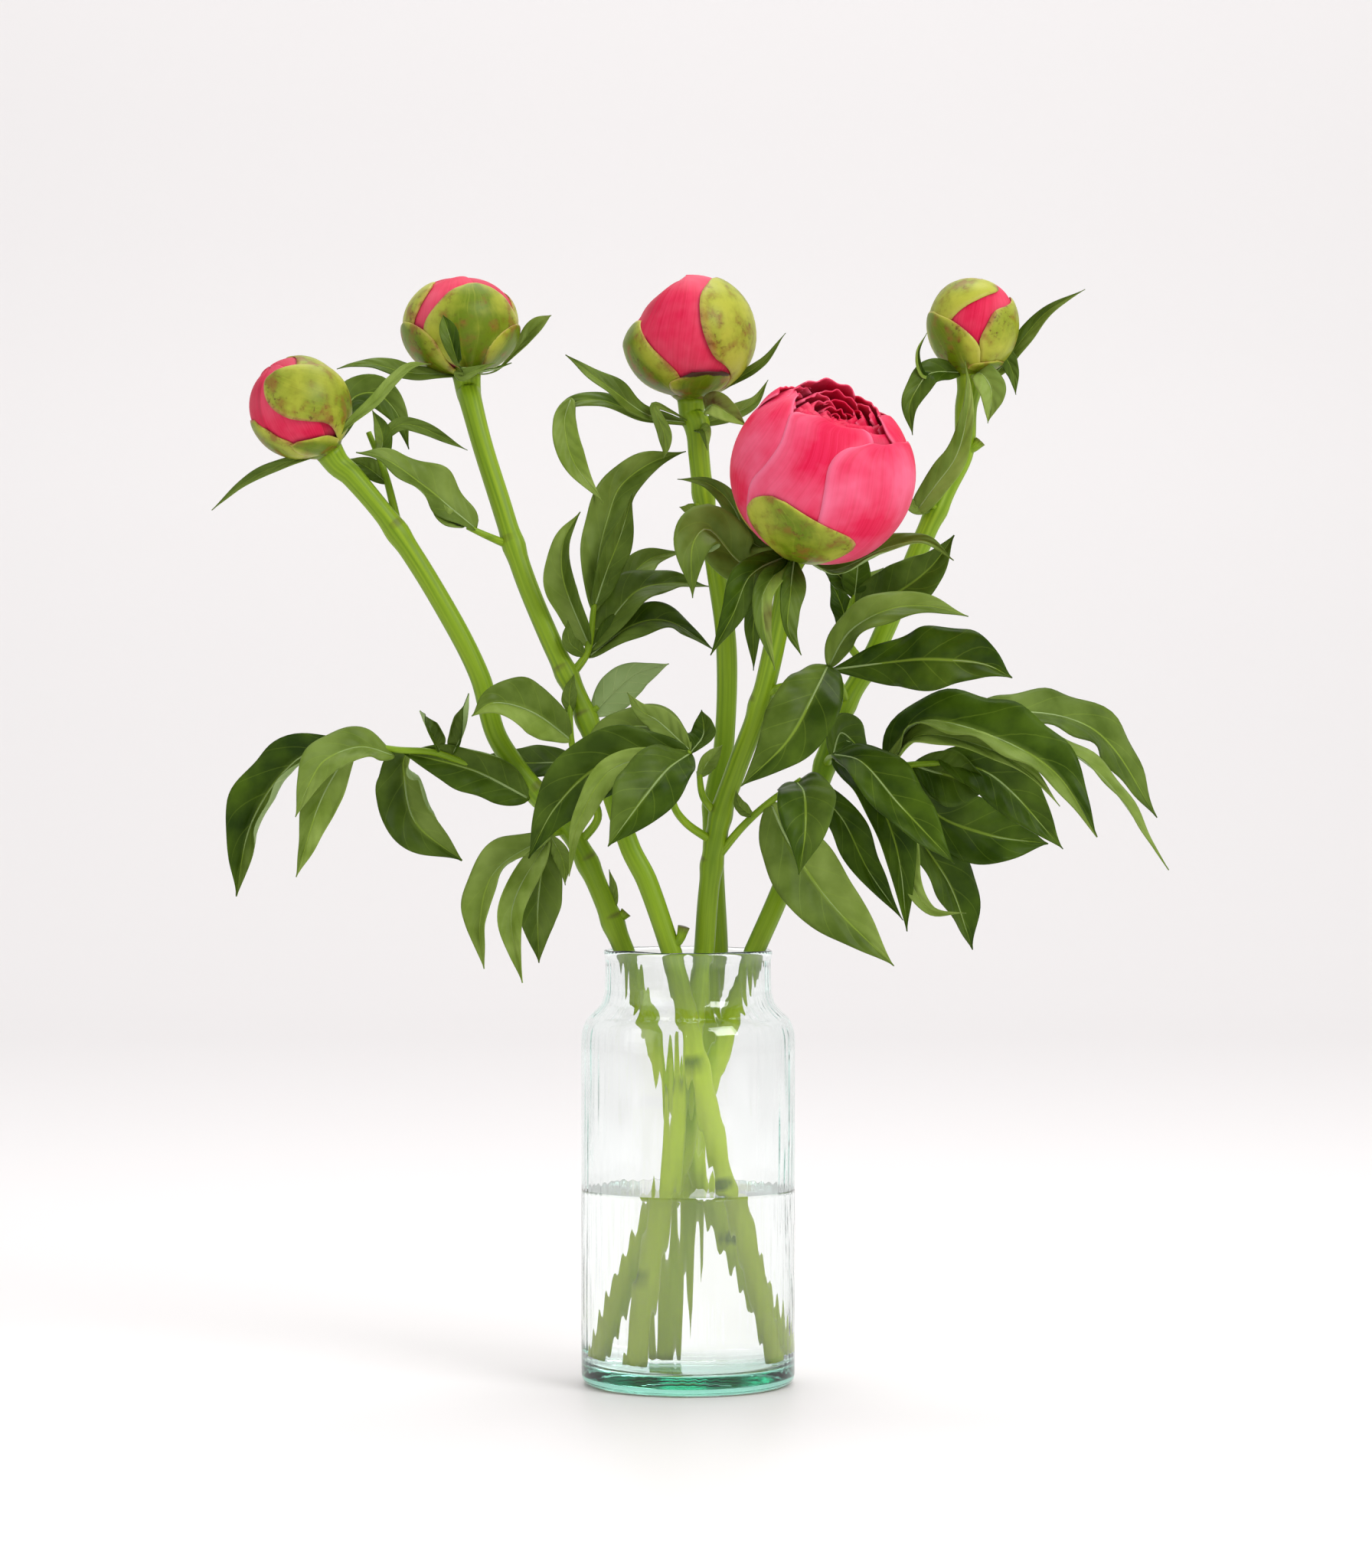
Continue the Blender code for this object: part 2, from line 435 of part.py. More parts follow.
def flower_point(flower, azimuth, height, lift):
    """A point on the flower's round surface: height 0 at its base, 1 at its apex, azimuth in degrees."""
    axis, forward, right = flower_axes(flower)
    angle = radians(azimuth)
    out = forward * cos(angle) + right * sin(angle)
    grow = 1 + lift / flower.radius
    return Vector(flower.centre) + (axis * (-flower.height / 2 * cos(pi * height))
                                    + out * (flower.radius * sin(pi * height) ** FLOWER_FULLNESS)) * grow


def sepal_plate(flower, sepal):
    """A sepal standing close round the flower, rounded at its tip."""
    inner_lift, outer_lift = (share * flower.radius for share in SEPAL_LAYERS[sepal.layer])
    columns = sepal.last - sepal.first
    facet = FACET / 180
    inner_rows = [facet * step for step in range(1, 6) if facet * step < sepal.end - facet / 4]
    heights = [SEPAL_BASE, *inner_rows, sepal.end]
    rows = len(heights) - 1

    def place(across, along, lift):
        height = heights[round(along * rows)]
        if along == 1:
            height -= SEPAL_ROUNDING * across ** 2
        azimuth = flower.spin + FACET * (sepal.first + columns * (across + 1) / 2)
        if abs(across) == 1:
            azimuth -= SEPAL_SEAM / 2 * across
        return flower_point(flower, azimuth, height, lift)

    return sheet("sepal", columns, rows, lambda across, along: place(across, along, outer_lift),
                 lambda across, along: place(across, along, inner_lift))


def petal_ring(flower, height, drop):
    """One ring round the petals: each petal rises to its free edge, which covers the next one's start."""
    points = []
    seams = list(flower.seams) + [flower.seams[0] + 360]
    for start, end in zip(seams, seams[1:]):
        for column in range(PETAL_COLUMNS + 1):
            share = column / PETAL_COLUMNS
            azimuth = start + (end - start) * share + flower.lean * (height - 0.5)
            points.append(flower_point(flower, azimuth, height, -drop - PETAL_OVERLAP * (1 - share)))
    return points


def petal_edge(column):
    """How far a petal's top falls away from its middle towards its edges, 0 to 1."""
    across = 2 * (column % (PETAL_COLUMNS + 1)) / PETAL_COLUMNS - 1
    return across ** 2


def keep_outer_shell(mesh):
    """Fill what fusing sealed off, and drop loose scraps: only the largest connected surface stays."""
    form = bmesh.new()
    form.from_mesh(mesh)
    waiting = set(form.verts)
    shells = []
    while waiting:
        shell, edge = set(), [waiting.pop()]
        while edge:
            vertex = edge.pop()
            shell.add(vertex)
            for neighbour in (link.other_vert(vertex) for link in vertex.link_edges):
                if neighbour in waiting:
                    waiting.remove(neighbour)
                    edge.append(neighbour)
        shells.append(shell)
    shells.sort(key=len)
    for shell in shells[:-1]:
        bmesh.ops.delete(form, geom=list(shell), context="VERTS")
    form.to_mesh(mesh)
    form.free()


def fuse(name, pieces, material_name, cutters=(), solver="EXACT"):
    """Join the pieces into one body by a single union, cut it clear of the cutters, and name it."""
    first, others = pieces[0], pieces[1:]
    group = bpy.data.collections.new(name + "_pieces")
    bpy.context.scene.collection.children.link(group)
    for piece in others:
        bpy.context.scene.collection.objects.unlink(piece)
        group.objects.link(piece)
    if others:
        union = first.modifiers.new("union", "BOOLEAN")
        union.operation = "UNION"
        union.operand_type = "COLLECTION"
        union.collection = group
        union.solver = solver
    for cutter in cutters:
        cut = first.modifiers.new("cut", "BOOLEAN")
        cut.operation = "DIFFERENCE"
        cut.object = cutter
        cut.solver = solver
    mesh = bpy.data.meshes.new_from_object(first.evaluated_get(bpy.context.evaluated_depsgraph_get()))
    remove_objects([*pieces, *cutters])
    bpy.data.collections.remove(group)
    keep_outer_shell(mesh)
    mesh.name = name
    return add_object(name, mesh, material_name)


# ---------------------------------------------------------------- vase and water
def make_vase():
    def ribbed(radius, height, step):
        if (radius, height) in VASE_INNER and RIB_FROM < height < RIB_TO:
            return radius - RIB_DEPTH * (0.5 + 0.5 * cos(2 * pi * RIB_COUNT * step / VASE_SEGMENTS))
        return radius

    glass = lofted("glass_vase", [ring(radius, height, VASE_SEGMENTS, ribbed)
                                  for radius, height in VASE_OUTER + VASE_INNER])
    glass.data.materials.append(material("vase_glass"))


def make_water(stem_paths):
    body = lofted("water_body", [ring(radius, height, WATER_SEGMENTS) for radius, height in WATER_PROFILE])
    holes = []
    for path in stem_paths.values():
        below = path[0] + (path[0] - path[1]).normalized() * HOLE_OVERSHOOT
        holes.append(tube("hole", [below, path[1]], STEM_RADIUS + GAP, STEM_RADIUS + GAP, STEM_SIDES))
    fuse("water", [body], "water", cutters=holes)


# ---------------------------------------------------------------- stems
def stem_path(number):
    flower = BLOOM if number == 3 else FLOWERS[number]
    axis = flower_axes(flower)[0]
    top = Vector(flower.centre) - axis * (cap_depth(flower) + GAP)
    route = [Vector(point) for point in STEMS[number]] + [top - axis * STEM_END]
    in_vase = route[:2]
    above = route[1:]
    length = sum((b - a).length for a, b in zip(above, above[1:]))
    return [in_vase[0]] + smooth_path(above, round(length / PATH_STEP)) + [top]


def at_height(path, height):
    """The place on a stem's centreline at this height."""
    for lower, upper in zip(path, path[1:]):
        if lower.z <= height <= upper.z:
            return lower.lerp(upper, (height - lower.z) / (upper.z - lower.z))
    return path[-1]


def make_stem(number, path):
    stem = tube("stem_%d" % number, path, STEM_RADIUS, STEM_TOP_RADIUS, STEM_SIDES)
    stem.data.materials.append(material("stem_green"))


# ---------------------------------------------------------------- flowers
def cap_depth(flower):
    """How far below the flower's centre its receptacle ends."""
    return flower.height / 2 * (1 + CAP_INNER) + CAP_THICKNESS


def cap(flower):
    """The receptacle: a shallow cup under the flower, flat where the stem meets it."""
    axis, forward, right = flower_axes(flower)
    inner = CAP_INNER * flower.radius
    foot = Vector(flower.centre) - axis * cap_depth(flower)
    turns = [flower.spin + FACET * step for step in range(360 // FACET)]

    def underside(turn):
        out = forward * cos(radians(turn)) + right * sin(radians(turn))
        return foot + out * (STEM_TOP_RADIUS + CAP_MARGIN)

    def on_surface(height, lift):
        return [flower_point(flower, turn, height, lift) for turn in turns]

    seat = flower_point(flower, 0, 0, GAP * flower.radius / (flower.height / 2))
    return lofted("cap", [[foot], [underside(turn) for turn in turns],
                          on_surface(CAP_FOOT, inner + CAP_THICKNESS),
                          on_surface(CAP_BRIM, CAP_OUTER * flower.radius),
                          on_surface(CAP_BRIM, inner), [seat]])


def make_bud(flower, path):
    rings = [petal_ring(flower, height, 0) for height in PETAL_HEIGHTS]
    petals = lofted(flower.name + "_petals", [[flower_point(flower, 0, 0, 0)], *rings,
                                              [flower_point(flower, 0, 1, -PETAL_OVERLAP / 2)]])
    petals.data.materials.append(material("bud_pink"))
    make_calyx(flower, path)


def make_calyx(flower, path):
    pieces = [cap(flower)]
    pieces += [sepal_plate(flower, sepal) for sepal in flower.sepals]
    axis = flower_axes(flower)[0]
    middle = Vector(flower.centre) - axis * (cap_depth(flower) - BRACT_HEIGHT)
    for bract in flower.bracts:
        outward = Vector(bract.midrib[0]) - middle
        root = middle + (outward - axis * outward.dot(axis)).normalized() * BRACT_ROOT
        pieces.append(blade(bract._replace(midrib=(root, *bract.midrib))))
    clearance = tube("clearance", path[-5:], STEM_TOP_RADIUS + GAP, STEM_TOP_RADIUS + GAP, STEM_SIDES)
    fuse(flower.name + "_sepals", pieces, "sepal_green", [clearance], "MANIFOLD")


def make_bloom(path):
    axis, forward, right = flower_axes(BLOOM)
    centre = Vector(BLOOM.centre)
    outer = [petal_ring(BLOOM, height, 0) for height in BLOOM_HEIGHTS]
    brim = petal_ring(BLOOM, BLOOM_MOUTH, 0)
    lip = petal_ring(BLOOM, BLOOM_MOUTH, BLOOM_LIP)
    for column in range(len(brim)):
        fall = axis * (-BLOOM_EDGE_FALL * petal_edge(column))
        brim[column] = brim[column] + fall
        lip[column] = lip[column] + fall
    dish = [petal_ring(BLOOM, height, depth) for height, depth in BLOOM_DISH]
    pieces = [lofted("cup", [[flower_point(BLOOM, 0, 0, 0)], *outer, brim, lip, *dish,
                             [centre + axis * BLOOM_FLOOR]])]
    for count, radius, width, turn in RUFFLE_RINGS:
        for index in range(count):
            angle = radians(turn + 360 * index / count)
            out = forward * cos(angle) + right * sin(angle)
            reach = radius + RUFFLE_STAGGER * (2 * (index % 2) - 1)
            root = centre + axis * RUFFLE_ROOT + out * reach * RUFFLE_TAPER
            tip = centre + axis * (RUFFLE_TOP + RUFFLE_STEP * (index % 3)) + out * reach
            middle = root.lerp(tip, 0.5) + out * RUFFLE_BELLY
            pieces.append(blade(Blade((root, middle, tip), width, out, RUFFLE_FOLD, RUFFLE_WAVE, True)))
    fuse("bloom_petals", pieces, "bloom_pink", solver="MANIFOLD")
    make_calyx(BLOOM, path)


# ---------------------------------------------------------------- leaves
def make_leaf(leaf, paths):
    path = paths[leaf.stem]
    pieces = []
    if leaf.collar:
        ends = [at_height(path, height) for height in leaf.collar]
        pieces.append(tube("collar", ends, STEM_RADIUS + COLLAR_WALL, STEM_RADIUS + COLLAR_WALL, STEM_SIDES))
    for stalk in leaf.stalks:
        pieces.append(tube("stalk", smooth_path(stalk, len(stalk)), STALK_RADIUS, STALK_END_RADIUS, 6))
    pieces += [blade(leaflet) for leaflet in leaf.blades]
    clearance = tube("clearance", path, STEM_RADIUS + GAP, STEM_TOP_RADIUS + GAP, STEM_SIDES)
    fuse(leaf.name, pieces, "leaf_green", [clearance], leaf.solver)


def main():
    remove_objects(list(bpy.data.objects))
    paths = {number: stem_path(number) for number in STEMS}
    make_vase()
    make_water(paths)
    for number, path in paths.items():
        make_stem(number, path)
    for number, flower in FLOWERS.items():
        make_bud(flower, paths[number])
    make_bloom(paths[3])
    for leaf in LEAVES:
        make_leaf(leaf, paths)


main()
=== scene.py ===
"""Cut peonies in a ribbed glass vase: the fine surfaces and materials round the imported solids.

Lists and settings named "mm" are in millimetres, and all others are in metres, in the frame's axes:
+Z up, +X to the right and -Y towards the side that the flowers are arranged for.
"""

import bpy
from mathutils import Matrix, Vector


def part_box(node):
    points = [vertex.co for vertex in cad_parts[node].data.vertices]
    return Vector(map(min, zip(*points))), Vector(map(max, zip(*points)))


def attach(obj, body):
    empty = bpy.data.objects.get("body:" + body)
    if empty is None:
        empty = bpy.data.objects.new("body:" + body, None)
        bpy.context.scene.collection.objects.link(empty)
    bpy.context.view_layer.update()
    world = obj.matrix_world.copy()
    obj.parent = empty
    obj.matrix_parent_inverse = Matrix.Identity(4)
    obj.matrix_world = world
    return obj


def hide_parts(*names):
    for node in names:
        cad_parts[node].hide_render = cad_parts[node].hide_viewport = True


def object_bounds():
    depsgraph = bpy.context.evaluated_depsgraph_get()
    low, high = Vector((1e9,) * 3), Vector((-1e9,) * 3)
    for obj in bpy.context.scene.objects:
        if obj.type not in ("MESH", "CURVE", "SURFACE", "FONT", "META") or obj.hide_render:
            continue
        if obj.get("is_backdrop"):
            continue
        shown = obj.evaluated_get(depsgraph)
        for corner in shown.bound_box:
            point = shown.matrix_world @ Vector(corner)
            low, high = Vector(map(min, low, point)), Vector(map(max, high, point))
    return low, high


bl_info = {
    "name": "Cut peonies in a vase",
    "version": (1, 0, 0),
    "blender": (4, 5, 0),
    "location": "View3D > Sidebar > Peonies",
    "description": "Builds cut peonies, their leaves and stems, and the ribbed glass vase that holds them",
    "category": "Add Mesh",
}

from collections import namedtuple
from functools import partial
from math import atan2, cos, exp, log, pi, radians, sin

import bmesh
import bpy
from bpy.props import FloatProperty, FloatVectorProperty, IntProperty, PointerProperty
from mathutils import Matrix, Vector, noise

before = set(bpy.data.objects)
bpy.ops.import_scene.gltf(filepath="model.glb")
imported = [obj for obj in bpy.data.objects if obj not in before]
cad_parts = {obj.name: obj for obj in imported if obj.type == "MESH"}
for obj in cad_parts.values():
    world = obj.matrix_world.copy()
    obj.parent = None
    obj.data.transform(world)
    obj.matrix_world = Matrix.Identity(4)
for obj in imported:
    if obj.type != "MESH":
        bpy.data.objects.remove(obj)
CAD_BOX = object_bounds()

MM = 0.001
FRONT = (0, -1, 0.25)
FRONT_UP = (0, -0.75, 0.65)
UP = (0, -0.35, 0.94)
LEFT = (-0.55, -0.8, 0.25)
RIGHT = (0.55, -0.8, 0.25)
UNDER = (0, 0.9, -0.45)

# midrib: from root to tip. tone: shade of the two halves, 0 dark to 1 pale, and above that withered brown;
# below 1 it is partly the leaf's own green and partly painted light, shade and sheen on that half.
# facing: where the upper side looks. fold: how steeply the halves rise off the midrib. roll: how far the two
# edges curl over, in radians. peak: where it is widest, as a share of its length. twist: turn at the tip in
# degrees.
Leaflet = namedtuple("Leaflet", "midrib width tone facing fold roll peak twist wave",
                     defaults=((0.3, 0.3), FRONT, 0.3, (0, 0), 0.43, 0, 1.0))
Leaf = namedtuple("Leaf", "node stalks leaflets")
# A sepal or large petal. lift: its distance off the flower's round form. tone: 0 yellowish to 1 green on a
# sepal, whose tip withers above 1, and 0 bright to 1 darkened by painted shade on a petal. keys: height as a
# share of the flower's, azimuths of its left and right edge.
Plate = namedtuple("Plate", "lift tone keys")
# seams: azimuths where a bud's petals start. lean: how far they wind round it, in degrees. plates: its sepals.
# flat: how far its upper left side is pressed in. Azimuth 0 is the front, and 90 the right.
Flower = namedtuple("Flower", "name stem centre axis radius height seams lean plates bracts flat",
                    defaults=(0.0,))

# ---------------------------------------------------------------- stems (mm)
STEM_RADIUS = 4.8
STEMS = {
    1: ((33, 12, 11.5), (-30, 6, 202), (-47, 3, 243), (-58, 0, 262), (-70, -1, 275), (-81, -2, 289),
        (-90, -4, 304), (-97, -7, 330), (-112, -10, 360), (-135, -14, 397), (-156, -17, 423)),
    2: ((36, -15, 11.5), (-7.5, -21, 202), (-19, -19, 235), (-27, -18, 251), (-47, -10, 310),
        (-65, -3, 349), (-77, 3, 378), (-89, 10, 415), (-97, 16, 440), (-103, 22, 462)),
    3: ((-22, -22, 10.6), (7.5, -4, 202), (10, -8, 234), (15, -14, 265), (22, -19, 286),
        (33, -28, 316), (42, -39, 355), (45, -43, 370)),
    4: ((-8, 24, 10), (14, 14, 202), (12, 15, 245), (12, 16, 270), (17, 17, 300), (18, 17, 345),
        (13, 18, 383), (7, 18, 418), (5, 18, 436), (4, 19, 450)),
    5: ((-36, -6, 11.6), (31, 0, 202), (43, 4, 229), (58, 9, 268), (72, 15, 313), (88, 20, 342),
        (114, 28, 402), (123, 31, 421), (131, 35, 438), (132.5, 38, 460)),
}
# Heights of each stem's joints, and the stubs of leaves that were cut off.
JOINTS = {1: (243, 262, 275, 397, 215, 128, 66), 2: (310, 331, 392, 148, 92), 3: (242, 253, 265, 316, 136, 48),
          4: (417, 270, 450, 122), 5: (289, 317, 335, 410, 152, 84)}
STUBS = {1: ((-36, 5, 216), (-31, 4, 218), (-29, 4, 220)), 2: ((-9, -21, 203), (-4, -23, 208), (-2, -24, 214)),
         3: ((37, -31, 322), (42, -34, 324), (45, -35, 324)),
         5: ((131, 34, 438), (136, 33, 440), (139, 33, 443))}

# ---------------------------------------------------------------- leaves and flowers (mm, degrees)
LEAVES = (
    Leaf("leaf_1_under_bud", (((-134, -14, 397), (-141, -8, 424), (-149, -6, 444)),), (
        Leaflet(((-147, -7, 437), (-132, -4, 448), (-103, -2, 436)), 7, fold=0.28),
        Leaflet(((-140, -9, 420), (-150, -6, 428), (-159, -2, 432)), 10, (0.2, 0.6), fold=0.28),
        Leaflet(((-144, -8, 431), (-142, -14, 441), (-146, -19, 453)), 11, (0.5, 0.1), RIGHT, 0.28))),
    Leaf("leaf_1_left", (((-69, -1, 273), (-84, -7, 280), (-115, -16, 294), (-136, -18, 296),
         (-159, -22, 300)),), (
        Leaflet(((-74, -5, 273), (-99, -14, 286), (-134, -16, 295)), 25, (0.05, 0.15), FRONT, 0.2, (0, 2.3),
            twist=10),
        Leaflet(((-115, -16, 295), (-120, -22, 305), (-124, -17, 314)), 12, (0.1, 0.2), RIGHT, 0.6, (0, 2),
            twist=70),
        Leaflet(((-109, -15, 294), (-103, -22, 308), (-102, -17, 322)), 13, (0.2, 0), LEFT, 0.6, (2, 0),
            twist=-80),
        Leaflet(((-136, -18, 293), (-151, -30, 297), (-166, -40, 291), (-173, -46, 280), (-179, -50, 265)),
            22, (0.65, 0.5), (0, -0.8, 0.6)),
        Leaflet(((-157, -21, 299), (-183, -4, 291), (-205, 8, 262), (-213, 14, 227)), 29, (0.25, 0.0),
            (-0.3, -0.9, 0.4), 0.45, (2.0, 0), 0.5, -20),
        Leaflet(((-155, -21, 299), (-170, -22, 272), (-181, -24, 237)), 18, (0.9, 0.5), RIGHT, roll=(1.6, 0)),
        Leaflet(((-130, -17, 296), (-133, 0, 286), (-128, 6, 262), (-106, 4, 244)), 30, (0.6, 0.15),
            roll=(2.6, 0), peak=0.5))),
    Leaf("leaf_1_right", (((-52, 2, 251), (-42, -4, 265), (-49, -12, 281), (-54, -16, 299),
         (-55, -14, 318)),), (
        Leaflet(((-54, -16, 300), (-68, -28, 311), (-79, -36, 316), (-90, -42, 317), (-99, -44, 311)), 27,
            (0.9, 0.4), (0, -0.9, 0.4), peak=0.5),
        Leaflet(((-52, -13, 289), (-62, 0, 290), (-80, 20, 290), (-102, 34, 293)), 17, (0, 0.1), fold=0.28),
        Leaflet(((-55, -14, 312), (-55, -16, 322), (-53, -13, 331)), 7, fold=0.28))),
    Leaf("leaf_1_hanging", (((-55, 1, 259), (-66, -9, 256)),), (
        Leaflet(((-64, -8, 256), (-89, -20, 240), (-96, -28, 216), (-94, -32, 195)), 23, (0.85, 0.75), LEFT,
            0.4, (1.2, 0), twist=-10),
        Leaflet(((-65, -10, 255), (-81, -34, 222), (-76, -42, 189)), 16, (0.9, 0.8), FRONT, 0.4, (0, 1.5),
            twist=40),
        Leaflet(((-65, -9, 256), (-70, -4, 226), (-70, 6, 196)), 23, (0.35, 0.2), fold=0.35),
        Leaflet(((-64, -9, 256), (-58, -15, 244), (-57, -16, 233)), 8, (0.6, 0.6), fold=0.28))),
    Leaf("leaf_1_sprout", (((-34, 5, 212), (-38, 4, 220)),), (
        Leaflet(((-37, 4, 217), (-35, 3, 230), (-37, 3, 240)), 5, (0.5, 0.7), fold=0.28),)),
    Leaf("leaf_2_under_bud", (((-84, 6, 392), (-94, 0, 396), (-103, -4, 400)),), (
        Leaflet(((-99, -3, 399), (-121, -12, 417), (-140, -22, 430), (-153, -28, 433)), 24, (0.3, 0.65),
            FRONT_UP, 0.3, (0.6, 0.9), 0.4, 0, 2.0),
        Leaflet(((-104, -5, 401), (-112, -12, 403), (-120, -10, 414)), 11, (0.5, 0.7), FRONT_UP))),
    Leaf("leaf_2_upright", (((-54, -8, 331), (-47, -4, 342), (-44, 0, 364)),), (
        Leaflet(((-44, 0, 360), (-42, 5, 387), (-38, 10, 404), (-32, 14, 420), (-17, 21, 432), (-1, 29, 438)),
            22, (0.55, 0.3), FRONT, 0.4, (0.6, 0), 0.45, 0, 1.6),
        Leaflet(((-44, 0, 362), (-38, -1, 380), (-31, -1, 398), (-26, 0, 416)), 15, (0.3, 0.2), RIGHT, 0.35),
        Leaflet(((-46, -3, 344), (-57, -12, 372), (-58, -20, 391), (-50, -20, 406)), 19, (0.7, 0.2), LEFT,
            0.45, (1.4, 0), twist=20),
        Leaflet(((-48, -5, 340), (-55, -12, 346), (-56, -13, 356)), 8, fold=0.28),
        Leaflet(((-46, -3, 342), (-26, 8, 369), (-8, 22, 375), (10, 31, 374)), 22, (0.15, 0.35), FRONT_UP,
            0.35),
        Leaflet(((-45, -1, 352), (-32, 16, 372), (-18, 32, 387), (-2, 40, 391)), 18, (0.4, 0.6)),
        Leaflet(((-47, -4, 339), (-26, 2, 354), (-8, 14, 356), (12, 30, 344)), 20, (0.05, 0.2), FRONT_UP))),
    Leaf("leaf_2_low", (((-48, -10, 310), (-42, -12, 316)),), (
        Leaflet(((-45, -11, 312), (-26, -8, 330), (-9, -4, 336)), 20, (0.8, 0.8), UNDER),)),
    Leaf("leaf_3_left", (((12, -12, 253), (-1, -22, 262), (-7, -34, 272), (-5, -44, 288), (1, -49, 295)),), (
        Leaflet(((1, -49, 295), (-18, -38, 306), (-34, -30, 304), (-52, -26, 291)), 25, (0.2, 0.5), FRONT_UP,
            0.25),
        Leaflet(((1, -49, 295), (-14, -40, 309), (-22, -40, 314), (-28, -38, 322)), 13, (0.5, 0.7),
            fold=0.28),
        Leaflet(((1, -49, 294), (-38, -52, 289), (-60, -50, 270), (-73, -46, 246)), 32, (0.0, 0.1),
            roll=(0, 0.6)),
        Leaflet(((1, -49, 294), (-10, -66, 286), (-22, -76, 271), (-36, -80, 252)), 32, (0.0, 0.2),
            (-0.15, -0.95, 0.3), 0.35, peak=0.5),
        Leaflet(((1, -49, 294), (7, -44, 303), (6, -40, 314)), 16, (0.0, 0.1), LEFT),
        Leaflet(((1, -49, 294), (-34, -59, 287), (-50, -60, 262), (-54, -56, 238)), 13, (0.9, 0.9), RIGHT))),
    Leaf("leaf_3_small", (((15, -14, 264), (7, -17, 274), (5, -17, 286)),), (
        Leaflet(((5, -17, 283), (9, -21, 290), (16, -19, 298)), 9, (0.8, 0.5), RIGHT),)),
    Leaf("leaf_3_right", (((12, -10, 244), (25, -18, 260), (38, -24, 272), (52, -31, 282)),), (
        Leaflet(((50, -30, 281), (53, -48, 275), (53, -62, 258), (50, -66, 239)), 29, (0.15, 0.0), fold=0.4),
        Leaflet(((38, -24, 272), (46, -20, 254), (66, -22, 225), (95, -26, 196)), 34, (0.85, 0.35),
            (-0.25, -0.9, 0.3), roll=(0.7, 0)),
        Leaflet(((50, -30, 281), (70, -12, 266), (84, 0, 240), (101, 8, 216)), 18, (0, 0)),
        Leaflet(((30, -21, 265), (24, -24, 270), (22, -24, 277)), 6, (0.4, 0.6), fold=0.28))),
    Leaf("leaf_4_collar", (), (
        Leaflet(((4, 19, 450), (-18, 8, 453), (-38, -2, 466), (-57, -8, 480)), 13, (0.5, 0.3), FRONT_UP,
            peak=0.55, wave=1.6),
        Leaflet(((4, 19, 449), (-20, 16, 453), (-42, 15, 461), (-57, 13, 458), (-58, 10, 447)), 10,
            (0.4, 0.2), FRONT_UP, 0.2, peak=0.62),
        Leaflet(((-55, 14, 462), (-58, 8, 450), (-54, 6, 432), (-40, 4, 412)), 13, (0.9, 0.8), peak=0.4),
        Leaflet(((4, 19, 449), (-8, 8, 455), (-16, 2, 457), (-11.5, -2, 445), (-10.5, -4, 437),
            (-11.5, -4, 432)), 7, (0.6, 0.4), peak=0.75),
        Leaflet(((8, 12, 456), (12, 4, 457.5), (19, -1, 453), (27.5, -4, 447)), 14, (1.5, 1.0), fold=0.4),
        Leaflet(((4, 19, 449), (30, 28, 460), (38, 30, 472)), 8, (0.5, 0.3), fold=0.28),
        Leaflet(((4, 19, 448), (8, 4, 445), (9, 0, 436)), 7, (1.2, 0.2), fold=0.28))),
    Leaf("leaf_4_sprout", (((7.3, 18, 413), (4, 14, 411)),), (
        Leaflet(((5, 15, 411), (0, 14, 409.5), (-4, 13, 410.5)), 5, (0.6, 0.8), fold=0.28),)),
    Leaf("leaf_5_long", (((119, 29, 410), (115, 22, 412)),), (
        Leaflet(((108, 24, 409), (116, 17, 420), (126, 13, 434), (131, 12, 452), (132, 12, 466),
            (130.5, 14, 479)), 13, (0.5, 0.9), peak=0.25),
        Leaflet(((116, 25, 410), (106, 22, 411), (104, 21, 419)), 6, (0.6, 0.6), fold=0.28))),
    Leaf("leaf_5_upper", (((84, 19, 335), (74, 10, 350), (78, 6, 369)),), (
        Leaflet(((78, 6, 367), (79, 0, 378), (80, -6, 392)), 14, (0.1, 0), fold=0.28),
        Leaflet(((78, 6, 369), (69, 2, 379), (60, 0, 385)), 11, (0.1, 0), fold=0.28),
        Leaflet(((78, 6, 369), (86, 8, 374), (92, 14, 382)), 11, (0.4, 0.5), fold=0.28),
        Leaflet(((75, 9, 360), (94, -6, 367), (112, -16, 380), (123, -22, 395)), 28, (0.2, 0.1),
            (0.2, -0.9, 0.4), 0.35, (0.9, 0)),
        Leaflet(((74, 11, 350), (73, 16, 362), (67, 20, 377)), 11, (0, 0), fold=0.28))),
    Leaf("leaf_5_middle", (((75, 16, 317), (71, 2, 327), (65, -14, 334)),), (
        Leaflet(((65, -14, 334), (75, -20, 351), (93, -26, 360.5), (111, -27, 362), (129.5, -24, 357.5)), 20,
            (0.7, 0.4), FRONT_UP, 0.25),
        Leaflet(((66, -14, 333), (94, -30, 336), (118, -50, 336.5), (135, -62, 334), (146, -70, 328)), 33,
            (0.0, 0.05), (0, -0.95, 0.3), 0.15, peak=0.58),
        Leaflet(((65, -14, 335), (58, -38, 322), (46, -48, 300), (24, -50, 279)), 33, (0.05, 0.3),
            (0, -0.85, 0.5), peak=0.5))),
    Leaf("leaf_5_right", (((65, 12, 289), (66, -2, 292), (68, -12, 293)), ((68, -10, 293), (89, -11, 287),
         (104, -14, 289), (120, -14, 290)), ((92, -11, 287), (103, -16, 300), (116, -14, 304))), (
        Leaflet(((67, -6, 292), (72, 2, 304), (87, 16, 288)), 19, (0.1, 0), RIGHT),
        Leaflet(((67, -12, 294), (80, -30, 290), (97, -44, 270), (121, -54, 244)), 28, (0.0, 0.05),
            (0.1, -0.85, 0.5), 0.35, peak=0.5),
